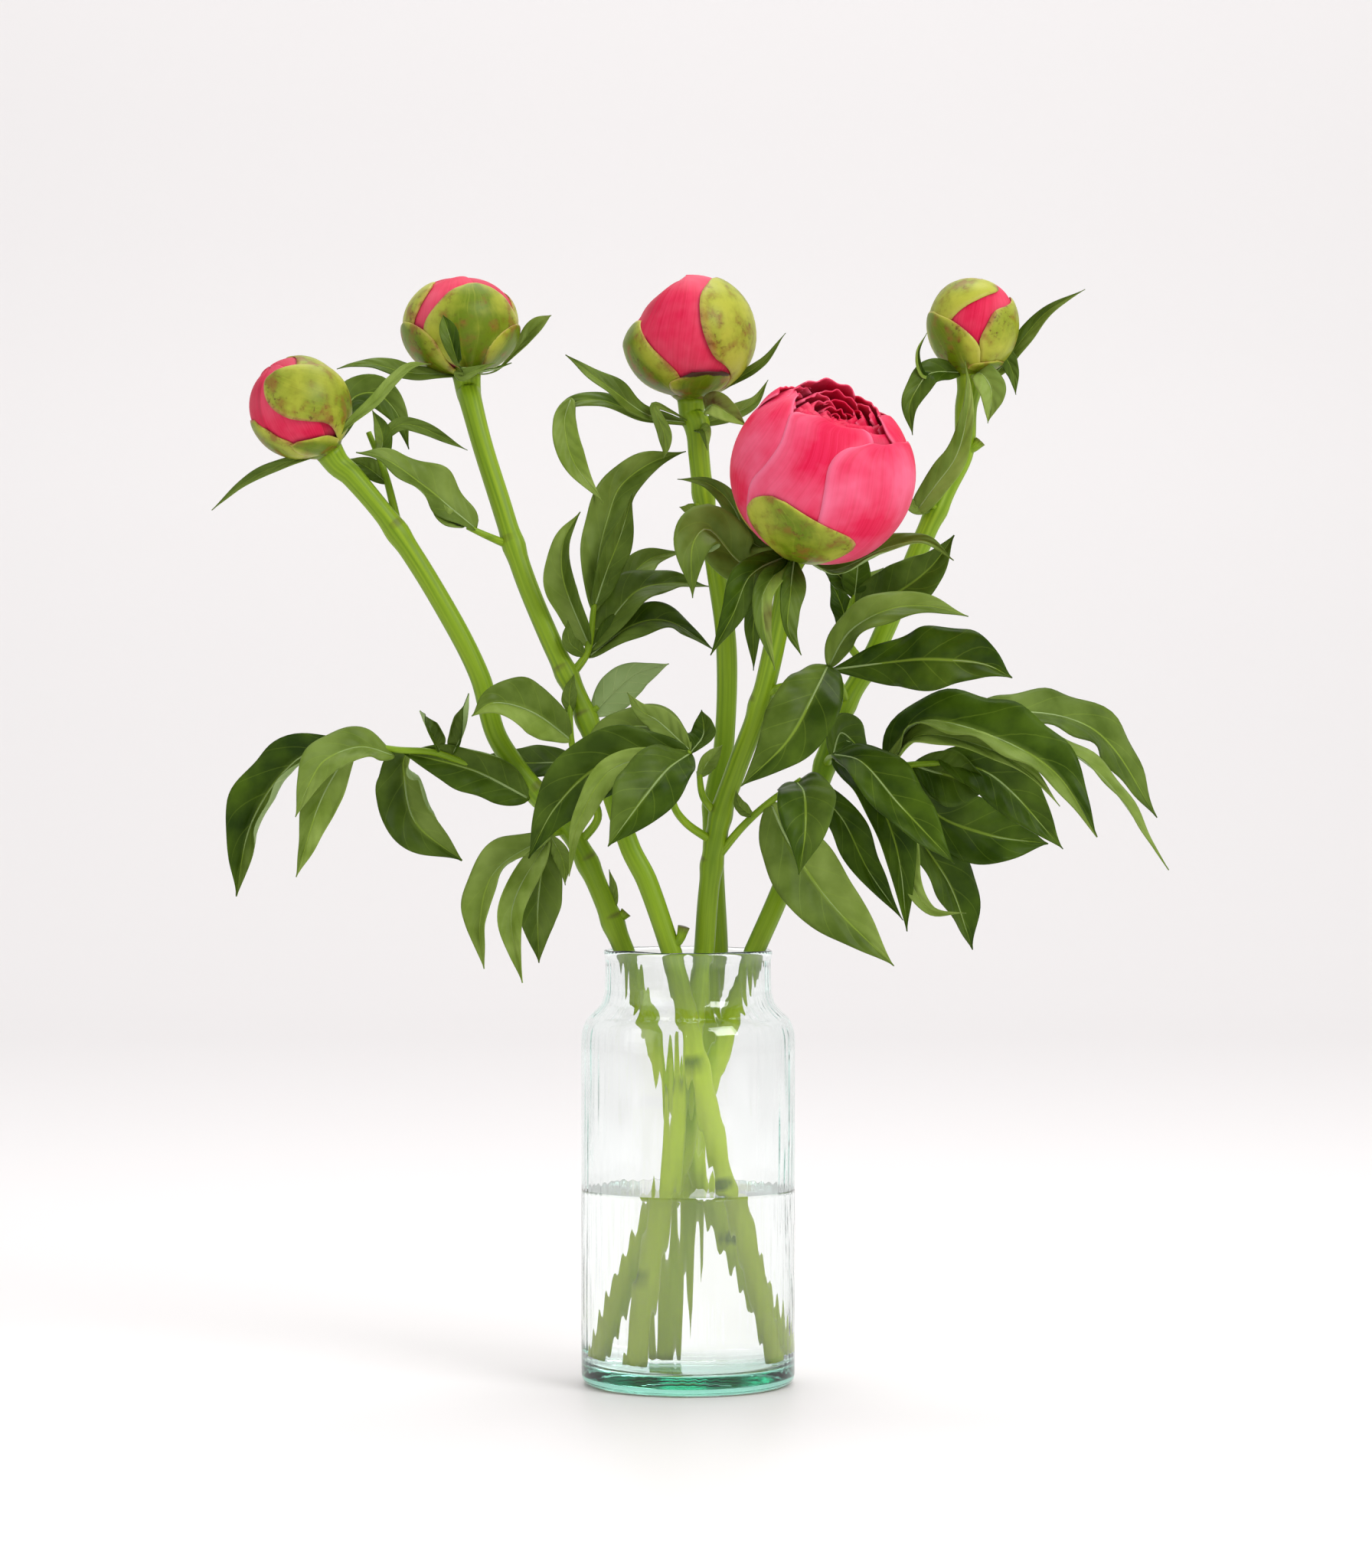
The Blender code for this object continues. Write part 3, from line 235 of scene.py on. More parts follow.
        Leaflet(((67, -11, 292), (84, -24, 278), (96, -30, 250), (101, -28, 212)), 22, (0, 0), FRONT, 0.4,
            (0, 1.0), twist=-20),
        Leaflet(((90, -12, 286), (106, -30, 308), (139, -46, 302), (167, -58, 284), (185, -64, 256)), 36,
            (0.0, 0.55), (0.1, -0.7, 0.7), 0.5, peak=0.52),
        Leaflet(((90, -14, 287), (106, -34, 302), (134, -52, 297), (155, -62, 285), (168, -66, 270)), 15,
            (0.8, 0.75), FRONT_UP, peak=0.4),
        Leaflet(((104, -14, 289), (120, -14, 284), (141, -20, 279)), 29, (0.15, 0.05), FRONT, 0.3, (1.2, 0),
            0.5, 50),
        Leaflet(((103, -14, 289), (116, -2, 266), (141, 4, 256), (169, 6, 252)), 33, (0.05, 0.0), peak=0.58),
        Leaflet(((116, -14, 293), (142, -20, 283), (173, -26, 250)), 27, (0.1, 0.05), FRONT, 0.35, (0.5, 0)),
        Leaflet(((114, -14, 303), (150, -14, 306), (190, -12, 286), (224, -8, 240)), 19, (0.7, 0.55), UP),
        Leaflet(((113, -13, 304), (150, 8, 314), (192, 28, 306), (224, 40, 264)), 30, (0.35, 0.2),
            (0.2, -0.7, 0.7), 0.2, peak=0.6),
        Leaflet(((103, -13, 289), (104, -6, 262), (123, 4, 232), (134, 12, 202)), 29, (0, 0.1), RIGHT, 0.35,
            peak=0.58),
        Leaflet(((103, -13, 288), (102, -24, 240), (111, -34, 222), (127, -42, 221)), 11, (0.9, 0.7)))),
)
BUDS = (
    Flower("bud_far_left", 1, (-180, -25, 454), (-0.55, -0.25, 0.8), 22.8, 46, (-62, 8, 110, 200), 30, (
        Plate(1.7, 0.4, ((0.08, 40, 130), (0.2, 30, 125), (0.34, 20, 112), (0.44, 0, 102), (0.51, -14, 93),
            (0.61, -25, 78), (0.7, -29, 58), (0.77, -28, 41), (0.82, -24, 25), (0.84, -12, 8))),
        Plate(0.6, 0.4, ((0.1, 105, 240), (0.3, 95, 245), (0.5, 78, 240), (0.63, 58, 232), (0.72, 42, 222),
            (0.78, 46, 210), (0.82, 72, 200), (0.86, 112, 180))),
        Plate(0.8, 0.5, ((0.06, -115, -40), (0.2, -125, -34), (0.36, -120, -34), (0.44, -112, -42),
            (0.52, -100, -50), (0.61, -84, -66))),
        Plate(1.7, 0.8, ((0.05, -40, 50), (0.12, -42, 45), (0.2, -40, 26), (0.27, -40, 12), (0.32, -38, -8),
            (0.36, -36, -26)))), (
        Leaflet(((-176, -24, 431), (-190, -23, 427), (-206, -20, 419), (-221, -17, 407)), 6, (0.5, 0.3),
            LEFT),
        Leaflet(((-158, -32, 444), (-144, -34, 456), (-136, -35, 465), (-127, -36, 472), (-118, -35, 473)), 6,
            (0.9, 0.8), peak=0.6, wave=2.0),
        Leaflet(((-157, 0, 460), (-146, 4, 463), (-136, 6, 453), (-131, 6, 437)), 18, (0.4, 0.1)))),
    Flower("bud_left", 2, (-108, 30, 498), (-0.12, 0.05, 0.99), 26.8, 45.5, (-75, 15, 105, 195), 20, (
        Plate(1.5, 0.8, ((0.08, -12, 50), (0.25, -32, 72), (0.38, -38, 84), (0.46, -37, 82), (0.54, -28, 68),
            (0.62, -16, 60), (0.69, -4, 48), (0.74, 16, 34))),
        Plate(0.8, 0.0, ((0.1, -150, -60), (0.3, -165, -54), (0.5, -165, -53), (0.6, -160, -45),
            (0.7, -155, -38), (0.78, -150, -37), (0.87, -135, -52))),
        Plate(0.8, 0.3, ((0.1, 60, 160), (0.3, 62, 185), (0.5, 70, 190), (0.6, 80, 180), (0.68, 92, 165),
            (0.74, 110, 140))),
        Plate(2.1, 0.9, ((0.06, -95, -26), (0.2, -104, -26), (0.32, -104, -26), (0.41, -100, -32),
            (0.49, -94, -46), (0.54, -88, -66))),
        Plate(2.1, 0.9, ((0.06, 45, 100), (0.16, 38, 108), (0.26, 34, 112), (0.34, 40, 110), (0.41, 56, 104),
            (0.45, 74, 94)))), (
        Leaflet(((-134, 14, 474), (-148, 11, 477.5), (-158, 9, 477), (-165, 8, 475)), 11, (0.3, 0.4),
            FRONT_UP, 0.2, peak=0.4),
        Leaflet(((-108, -1, 478), (-111, -6, 488), (-114.5, -3, 499)), 9, (0.3, 0.0), roll=(0.6, 0.6),
            peak=0.78),
        Leaflet(((-92, 46, 478), (-82, 40, 487), (-74, 31, 496), (-65, 24, 502)), 8, (0.9, 0.7), peak=0.8),
        Leaflet(((-91, 10, 475), (-83, 8, 478)), 6, (0.1, 0.1), UP),
        Leaflet(((-105, 0, 471), (-97, -3, 474), (-90, -2, 477)), 8, (0.4, 0.6), FRONT, 0.4, (1, 0)))),
    Flower("bud_middle", 4, (0, 20, 492), (-0.05, -0.05, 1.0), 30.8, 57, (-52, 55, 130, 215), 30, (
        Plate(0.8, 0.7, ((0.08, -80, -20), (0.16, -95, -14), (0.26, -105, -14), (0.35, -108, -24),
            (0.42, -106, -34), (0.5, -98, -44), (0.56, -86, -53), (0.6, -74, -58))),
        Plate(1.5, 0.1, ((0.1, 58, 120), (0.21, 62, 135), (0.3, 42, 145), (0.36, 24, 148), (0.45, 15, 152),
            (0.57, 11, 152), (0.7, 15, 150), (0.8, 33, 142), (0.85, 50, 124))),
        Plate(2.0, 1.4, ((0.05, -35, 60), (0.12, -36, 64), (0.18, -33, 62), (0.22, -28, 58), (0.26, -8, 50),
            (0.285, 2, 36))),
        Plate(0.8, 0.5, ((0.1, 160, 250), (0.3, 155, 256), (0.5, 156, 255), (0.66, 165, 245),
            (0.74, 185, 225)))), (
        Leaflet(((34, 16, 478), (46, 18, 493)), 5, (0.3, 0.2), fold=0.28),), 6.0),
    Flower("bud_far_right", 5, (136, 40, 499), (0.06, 0.0, 1.0), 20.8, 44, (-50, 62, 150, 230), 25, (
        Plate(0.8, 0.2, ((0.1, -190, -80), (0.3, -190, -60), (0.5, -190, -34), (0.6, -190, -14),
            (0.68, -190, 12), (0.76, -185, 45), (0.85, -180, 62), (0.93, -170, 64))),
        Plate(1.5, 0.9, ((0.06, -95, 30), (0.14, -100, 22), (0.22, -102, 14), (0.32, -102, 8),
            (0.41, -102, -8), (0.49, -100, -30), (0.53, -96, -50), (0.56, -88, -66))),
        Plate(1.2, 0.3, ((0.08, 30, 140), (0.22, 14, 150), (0.36, 7, 155), (0.47, 14, 155), (0.57, 24, 155),
            (0.62, 44, 150), (0.67, 66, 140), (0.72, 88, 122))),
        Plate(2.0, 1.0, ((0.03, -12, 85), (0.1, -12, 92), (0.16, -8, 90), (0.2, 16, 86), (0.235, 50, 80)))), (
        Leaflet(((114.5, 26, 474.6), (108.6, 24, 467.5), (104.5, 22, 458), (106.2, 22, 445)), 13, (0.1, 0.2)),
        Leaflet(((140, 28, 474), (144, 27, 466), (142, 26, 451)), 14, (0.6, 0.9)),
        Leaflet(((150, 40, 484), (155, 42, 477), (156.7, 42, 466)), 9, (0.2, 0.2), fold=0.28),
        Leaflet(((118, 28, 474), (111, 24, 474), (108.6, 22, 484), (113, 22, 493.5)), 3.5, (1.1, 0),
            fold=0.28),
        Leaflet(((148, 54, 478), (157, 48, 489), (171, 36, 505), (188, 26, 514.5)), 8.5, (0.2, 0.6)))),
)
BLOOM = Flower("bloom", 3, (60, -62, 420.8), (0.29, -0.37, 0.88), 42.6, 80, (), 0, (
    Plate(1.3, 0.55, ((0.05, -8, 24), (0.1, -12, 28), (0.15, -20, 30), (0.21, -28, 32), (0.29, -40, 38),
        (0.35, -43, 40), (0.39, -40, 32), (0.42, -36, 12), (0.445, -30, -6), (0.46, -24, -16))),
    Plate(0.8, 0.5, ((0.07, 52, 110), (0.14, 54, 114), (0.2, 62, 108), (0.25, 72, 98))),
    Plate(0.8, 0.5, ((0.07, -150, -80), (0.16, -150, -82), (0.24, -140, -90), (0.29, -125, -98))),
    Plate(0.8, 0.5, ((0.07, 125, 200), (0.2, 122, 202), (0.3, 132, 194), (0.36, 150, 180)))), (
    Leaflet(((26, -45, 380), (9, -54, 396), (2, -61, 388), (2, -66, 364)), 25, (0.5, 0.45)),
    Leaflet(((30, -42, 390), (20.5, -40, 407), (15, -39, 413.5), (7, -38, 418.5), (-5, -36, 420)), 11,
        (0.4, 0.3)),
    Leaflet(((28, -68, 374), (20, -72, 356), (10, -70, 338)), 16, (0.1, 0.0), fold=0.4),
    Leaflet(((34, -76, 366), (34, -80, 350), (39, -80, 331)), 11, (1.2, 0.2), fold=0.4),
    Leaflet(((46, -68, 366), (45, -72, 350), (51, -74, 338)), 14, (0.3, 0.1), RIGHT, 0.4),
    Leaflet(((28, -35, 383), (18, -32, 366)), 18, (0, 0), fold=0.28),
    Leaflet(((31, -38, 360), (30, -34, 332)), 11, (0.1, 0.1), fold=0.28),
    Leaflet(((66, -34, 378), (90, -36, 388), (108, -44, 391), (121, -50, 382)), 15, (0.3, 0.5), FRONT_UP,
        roll=(0, 1.5))))
# The bloom's large petals, outermost first.
BLOOM_PETALS = (
    Plate(0.5, 0.0, ((0.05, 10, 70), (0.2, 8, 88), (0.35, 7, 98), (0.44, 7, 104), (0.54, 5, 108),
          (0.63, 3, 110), (0.68, 6, 106), (0.72, 14, 98), (0.75, 32, 76))),
    Plate(-0.4, 0.15, ((0.05, -50, 12), (0.25, -52, 24), (0.36, -46, 28), (0.46, -44, 30), (0.55, -37, 32),
          (0.64, -35, 34), (0.71, -40, 36), (0.76, -46, 37), (0.785, -40, 35), (0.8, -26, 28))),
    Plate(-1.3, 0.1, ((0.05, -120, -42), (0.25, -135, -40), (0.36, -140, -36), (0.46, -142, -34),
          (0.55, -142, -28), (0.64, -140, -26), (0.71, -134, -32), (0.76, -126, -44), (0.8, -112, -58),
          (0.83, -96, -74))),
    Plate(-0.9, 0.2, ((0.05, 78, 150), (0.25, 80, 165), (0.5, 80, 172), (0.68, 70, 166), (0.76, 62, 150),
          (0.8, 60, 128), (0.84, 64, 104), (0.87, 70, 86))),
    Plate(-1.5, 0.2, ((0.05, 150, 230), (0.3, 145, 240), (0.6, 148, 238), (0.74, 158, 226), (0.8, 180, 205))),
    Plate(-2.1, 0.2, ((0.05, 205, 262), (0.3, 200, 268), (0.6, 205, 262), (0.76, 215, 250),
          (0.82, 226, 240))),
)
# Petals inside the mouth: turn, half-width in degrees, radius at root and tip, tip's height, and painted shade,
# which deepens towards the heart and the back of the mouth.
INNER_PETALS = (
    (-102, 18, 33, 30, 32.0, 0.0),
    (-80, 30, 31, 25, 32.0, 0.0), (-36, 30, 31, 25, 30.5, 0.0), (10, 28, 31, 26, 30.0, 0.0),
    (52, 26, 31, 26, 30.0, 0.0), (96, 26, 30, 24, 32, 0.0), (145, 36, 30, 22, 34.5, 0.2),
    (208, 44, 29, 20, 38.5, 0.2), (258, 26, 30, 25, 33.5, 0.0),
    (-55, 40, 26, 19, 31, 0.05), (12, 38, 26, 20, 29, 0.05), (74, 38, 26, 19, 30, 0.05),
    (130, 38, 25, 18, 33, 0.2), (190, 42, 24, 16, 35, 0.3), (248, 38, 25, 17, 33, 0.2),
    (-20, 48, 20, 14, 29, 0.2), (50, 48, 20, 14, 29, 0.2), (115, 48, 19, 13, 31, 0.3),
    (180, 50, 18, 12, 32, 0.4), (245, 48, 19, 13, 31, 0.3),
    (20, 62, 14, 9, 28, 0.3), (110, 62, 14, 9, 29.5, 0.4), (200, 62, 13, 8, 30, 0.4),
    (290, 62, 13, 9, 28.5, 0.4),
    (60, 80, 8, 5, 27.5, 0.4), (180, 80, 8, 5, 28, 0.5), (300, 80, 8, 5, 27, 0.5),
)


def linear(hex_colour):
    """An sRGB hex colour as the linear colour that a shader takes."""
    channels = [int(hex_colour[at:at + 2], 16) / 255 for at in (1, 3, 5)]
    return (*[c / 12.92 if c <= 0.04045 else ((c + 0.055) / 1.055) ** 2.4 for c in channels], 1)


# ---------------------------------------------------------------- settings
LENGTH = {"unit": "LENGTH", "precision": 5}


class VaseSettings(bpy.types.PropertyGroup):
    ribs: IntProperty(name="Ribs", description="Soft vertical ribs pressed into the inside", default=60, min=8)
    rib_depth: FloatProperty(name="Rib depth", description="How far a rib stands in from the wall",
                             default=0.15 * MM, **LENGTH)
    waviness: FloatProperty(name="Waviness", description="Unevenness of the hand-finished inside",
                            default=0.16 * MM, **LENGTH)
    tint: FloatVectorProperty(name="Tint", description="Colour that thick glass lets through", subtype="COLOR",
                              default=linear("#59ECD4")[:3])
    water_level: FloatProperty(name="Water level", description="Height of the water's surface",
                               default=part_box("water")[1].z, **LENGTH)


class PlantSettings(bpy.types.PropertyGroup):
    leaf_thickness: FloatProperty(name="Leaf thickness", description="Thickness of a leaf's blade",
                                  default=0.45 * MM, **LENGTH)
    sepal_thickness: FloatProperty(name="Sepal thickness", description="Thickness of a sepal",
                                   default=0.6 * MM, **LENGTH)
    petal_thickness: FloatProperty(name="Petal thickness", description="Thickness of a petal",
                                   default=0.5 * MM, **LENGTH)
    vein_pairs: IntProperty(name="Vein pairs", description="Side veins on each half of a leaflet",
                            default=6, min=2)


class StageSettings(bpy.types.PropertyGroup):
    backdrop: FloatVectorProperty(name="Backdrop", description="Colour of the floor and the backdrop",
                                  subtype="COLOR", default=linear("#F2F0F0")[:3])
    camera_distance: FloatProperty(name="Camera distance", description="From the vase's axis to the lens",
                                   default=1.933, **LENGTH)
    camera_height: FloatProperty(name="Camera height", description="Height of the lens over the vase's foot",
                                 default=0.280, **LENGTH)
    lens: FloatProperty(name="Lens", description="Focal length in millimetres on a 36 mm sensor", default=94.9)


# ---------------------------------------------------------------- shared tools
Skin = namedtuple("Skin", "material add shader")


def fill(target, named, values=()):
    """Fill a node's inputs by name, and those that its settings leave in use with the values, in order.

    A value is a number, a vector, a hex colour, a node, which gives its first output, or an output.
    """
    in_use = [socket for socket in target.inputs if socket.enabled]
    by_name = [(target.inputs[name], value) for name, value in named.items()]
    for socket, value in [*zip(in_use, values), *by_name]:
        if isinstance(value, bpy.types.Node):
            value = next(output for output in value.outputs if output.enabled)
        if isinstance(value, bpy.types.NodeSocket):
            target.id_data.links.new(value, socket)
        else:
            socket.default_value = linear(value) if isinstance(value, str) else value


def add_node(tree, kind, *values, named=None, **settings):
    """Add a node: its settings first, because they decide which inputs are in use, then its inputs."""
    made = tree.nodes.new("ShaderNode" + kind)
    for name, value in settings.items():
        setattr(made, name, value)
    fill(made, named or {}, values)
    return made


def new_material(name):
    """An empty material, with what adds a node to it, and its Principled shader."""
    made = bpy.data.materials.new(name)
    made.use_nodes = True
    return Skin(made, partial(add_node, made.node_tree), made.node_tree.nodes["Principled BSDF"])


def new_form():
    """An empty bmesh with the UV map and the shade that the materials read."""
    form = bmesh.new()
    form.loops.layers.uv.new("UVMap")
    form.verts.layers.float.new("tone")
    return form


def surface(form, columns, rows, place, index=0, tone=0.5, thickness=0.0):
    """Bend a grid: place gives the point in mm at (across -1 to 1, along 0 to 1).

    With a thickness it becomes a closed plate, whose back takes the material after its front's.
    """
    layer = form.verts.layers.float["tone"]
    verts = bmesh.ops.create_grid(form, x_segments=columns, y_segments=rows, size=1, calc_uvs=True)["verts"]
    faces = list(dict.fromkeys(face for vert in verts for face in vert.link_faces))
    for vert in verts:
        across, along = vert.co.x, (vert.co.y + 1) / 2
        vert[layer] = tone(across, along) if callable(tone) else tone
        vert.co = place(across, along) * MM
    for face in faces:
        face.material_index = index
        face.smooth = True
        face.normal_update()
    if thickness:
        for vert in verts:
            vert.normal_update()
        skins = set(faces)
        for part in bmesh.ops.solidify(form, geom=faces, thickness=thickness)["geom"]:
            if isinstance(part, bmesh.types.BMFace):
                part.material_index = index + 1
                skins.add(part)
        # The narrow faces of the edge are left flat, so that they don't darken the skins beside them.
        for face in {face for vert in verts for face in vert.link_faces} - skins:
            face.smooth = False
    return verts


def tangents_of(path):
    """The path's direction at each of its points."""
    return [(after - before).normalized() for before, after in zip([path[0], *path], [*path[1:], path[-1]])]


def tube(form, path, radius, sides, index=0, tone=0.5):
    """A closed round rod along the path: radius gives its radius in mm at (angle, share of the length)."""
    count = len(path)
    tangents = tangents_of(path)
    front = Vector((0, -1, 0))
    outs = [(front - tangent * tangent.dot(front)).normalized() for tangent in tangents]

    def place(across, along):
        row = round(along * (count + 1))
        at = min(max(row - 1, 0), count - 1)
        if row in (0, count + 1):
            return path[at]
        angle = pi * across
        out = outs[at] * cos(angle) + tangents[at].cross(outs[at]) * sin(angle)
        return path[at] + out * radius(angle, at / (count - 1))

    verts = surface(form, sides, count + 1, place, index, tone)
    bmesh.ops.remove_doubles(form, verts=verts, dist=1e-6)


def tapered(start, end):
    """A radius for tube that goes evenly from start to end."""
    return lambda angle, along: start + (end - start) * along


def stepped(radii):
    """A radius for tube that takes the radii one after the other, one at each point of the path."""
    return lambda angle, along: radii[round(along * (len(radii) - 1))]


def smooth_path(points, spans, steps=12):
    """A smooth curve through the points, as spans + 1 evenly spaced places."""
    knots = [Vector(point) for point in points]
    knots = [2 * knots[0] - knots[1]] + knots + [2 * knots[-1] - knots[-2]]
    fine = []
    for before, start, end, after in zip(knots, knots[1:], knots[2:], knots[3:]):
        length = (end - start).length
        tangent_in = (end - before) * (length / (length + (start - before).length))
        tangent_out = (after - start) * (length / (length + (after - end).length))
        for step in range(steps):
            t = step / steps
            fine.append(start * (2 * t ** 3 - 3 * t ** 2 + 1) + tangent_in * (t ** 3 - 2 * t ** 2 + t)
                        + end * (3 * t ** 2 - 2 * t ** 3) + tangent_out * (t ** 3 - t ** 2))
    fine.append(knots[-2])
    lengths = [0.0]
    for a, b in zip(fine, fine[1:]):
        lengths.append(lengths[-1] + (b - a).length)
    places, index = [], 0
    for span in range(spans + 1):
        target = lengths[-1] * span / spans
        while index < len(fine) - 2 and lengths[index + 1] < target:
            index += 1
        share = (target - lengths[index]) / (lengths[index + 1] - lengths[index])
        places.append(fine[index].lerp(fine[index + 1], min(share, 1.0)))
    return places


def ramp(value, start, end):
    """0 up to the start, 1 from the end on, and even between them."""
    return min(1.0, max(0.0, (value - start) / (end - start)))


def make_object(name, form, materials):
    """Turn the bmesh into an object with the named materials, each made when it is first asked for."""
    mesh = bpy.data.meshes.new(name)
    form.to_mesh(mesh)
    form.free()
    for entry in materials:
        mesh.materials.append(bpy.data.materials.get(entry) or MATERIALS[entry](entry))
    made = bpy.data.objects.new(name, mesh)
    bpy.context.scene.collection.objects.link(made)
    return made


def finish_piece(name, form, materials, node):
    """Make the piece from its bmesh, hang it on the root body, and hide the CAD node that it stands for."""
    piece = make_object(name, form, materials)
    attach(piece, "root")
    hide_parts(node)


# ---------------------------------------------------------------- materials
COLOUR = {"data_type": "RGBA"}
SMOOTH = {"interpolation_type": "SMOOTHSTEP"}


def per_metre(size):
    """The scale that a pattern on Object coordinates needs, for features of this size in mm."""
    return 1 / (size * MM)


def finish_material(skin, colour, layers, relief, strength, depth, finish):
    """Lay each layer's colour over the first by its amount, then add the relief, depth mm deep, and finish."""
    for amount, over in layers:
        colour = skin.add("Mix", amount, colour, over, **COLOUR)
    bump = skin.add("Bump", named={"Strength": strength, "Distance": depth * MM, "Height": relief})
    fill(skin.shader, {"Base Color": colour, "Normal": bump, **finish})
    return skin.material


# What the patterns read at a point: its place on Object coordinates and on the UV map, how far it lies along
# the leaf, stem or petal (0 to 1) and from its middle (0 to 0.5), and its tone, which on leaves, petals and
# stems in the water carries painted light and shade.
Reading = namedtuple("Reading", "place uv along across tone")


def read_point(add):
    """The nodes that give a point's Reading."""
    uv = add("UVMap", uv_map="UVMap")
    split = add("SeparateXYZ", uv)
    off = add("Math", split, 0.5, operation="SUBTRACT")
    across = add("Math", off, operation="ABSOLUTE")
    tone = add("Attribute", attribute_name="tone").outputs["Fac"]
    return Reading(add("TexCoord").outputs["Object"], uv, split.outputs["Y"], across, tone)


def side_veins(add, at):
    """How far a point lies from the next side vein, 0 on a vein and 0.5 between two: they lean to the tip."""
    pairs = bpy.context.scene.peony_plant.vein_pairs
    lean = add("Math", at.across, -0.44 * pairs, operation="MULTIPLY")
    rank = add("Math", at.along, pairs, lean, operation="MULTIPLY_ADD")
    return add("Math", rank, 0.5, operation="PINGPONG")


def leaf_top(name):
    """Peony leaf, upper side, grown: a thin waxy skin gives soft highlights, and veins show paler."""
    skin = new_material(name)
    add, at = skin.add, read_point(skin.add)
    side = side_veins(add, at)
    mottle = add("TexNoise", at.place, per_metre(18.18), 4)
    pores = add("TexNoise", at.place, per_metre(1.111), 3)
    midrib = add("MapRange", at.across, 0.008, 0.035, 1, 0, **SMOOTH)
    width = add("MapRange", at.across, 0, 0.48, 0.055, 0.02)
    side_vein = add("MapRange", side, 0, width, 0.32, 0, **SMOOTH)
    veins = add("Math", midrib, side_vein, operation="MAXIMUM")
    # The tone mixes each half from a dark to a pale green: partly the leaf's own colour and partly painted
    # light, shade and sheen for how that half is lit.
    dark = add("Mix", at.tone, "#243A02", "#718831", **COLOUR)
    light = add("Mix", at.tone, "#435B0E", "#90A552", **COLOUR)
    patch = add("MapRange", mottle, 0.35, 0.68)
    age = add("Math", at.tone, 0.6, mottle, operation="MULTIPLY_ADD")
    withered = add("MapRange", age, 1.2, 1.5)
    vein_amount = add("Math", veins, 0.5, operation="MULTIPLY")
    swell = add("MapRange", side, 0, 0.5, 0, 1, **SMOOTH)
    grain = add("Math", pores, 0.12, swell, operation="MULTIPLY_ADD")
    relief = add("Math", midrib, -1.2, grain, operation="MULTIPLY_ADD")
    rough = add("MapRange", mottle, 0.3, 0.7, 0.34, 0.48)
    layers = (patch, light), (withered, "#4A3418"), (vein_amount, "#93AE3C")
    waxy = {"Roughness": rough, "Specular IOR Level": 0.09}
    return finish_material(skin, dark, layers, relief, 0.6, 0.35, waxy)


def leaf_back(name):
    """Peony leaf, underside, grown: pale and matt, with a raised net of veins."""
    skin = new_material(name)
    add, at = skin.add, read_point(skin.add)
    mottle = add("TexNoise", at.place, per_metre(14.286), 4)
    midrib = add("MapRange", at.across, 0.012, 0.045, 1, 0, **SMOOTH)
    side_vein = add("MapRange", side_veins(add, at), 0, 0.06, 0.7, 0, **SMOOTH)
    veins = add("Math", midrib, side_vein, operation="MAXIMUM")
    layers = (mottle, "#9DB375"), (veins, "#A9BE78")
    return finish_material(skin, "#76904A", layers, veins, 0.7, 0.4, {"Roughness": 0.62})


def stem_skin(name):
    """Peony stem, grown: smooth and waxy, streaked lengthwise, and brown where a leaf broke off."""
    skin = new_material(name)
    add, at = skin.add, read_point(skin.add)
    # 22 streaks round the stem are 1.4 mm wide each. The tone is 0 in the water, 0.3 above it, and higher on a
    # scar; under 0.3 the stem is painted bright yellow-green, a painted light in place of the light that the
    # glass and water hold back.
    streak = add("TexNoise", add("Mapping", at.uv, named={"Scale": (22, 5, 1)}), 1, 3)
    patch = add("TexNoise", at.place, per_metre(33.33), 3)
    pores = add("TexNoise", at.place, per_metre(1.667), 2)
    streaks = add("MapRange", streak, 0.3, 0.7)
    shade = add("MapRange", patch, 0.35, 0.7, 0, 0.55)
    # Painted light: the stem is painted bright yellow-green in the water.
    painted_light_in_water = add("MapRange", at.tone, 0, 0.3, 0.8, 0)
    scar = add("MapRange", at.tone, 0.55, 1)
    relief = add("Math", pores, 0.4, streak, operation="MULTIPLY_ADD")
    layers = (streaks, "#8CA81E"), (shade, "#749414"), (painted_light_in_water, "#D6F03A"), (scar, "#4A3320")
    waxy = {"Roughness": 0.42, "Specular IOR Level": 0.25}
    return finish_material(skin, "#608008", layers, relief, 0.35, 0.3, waxy)


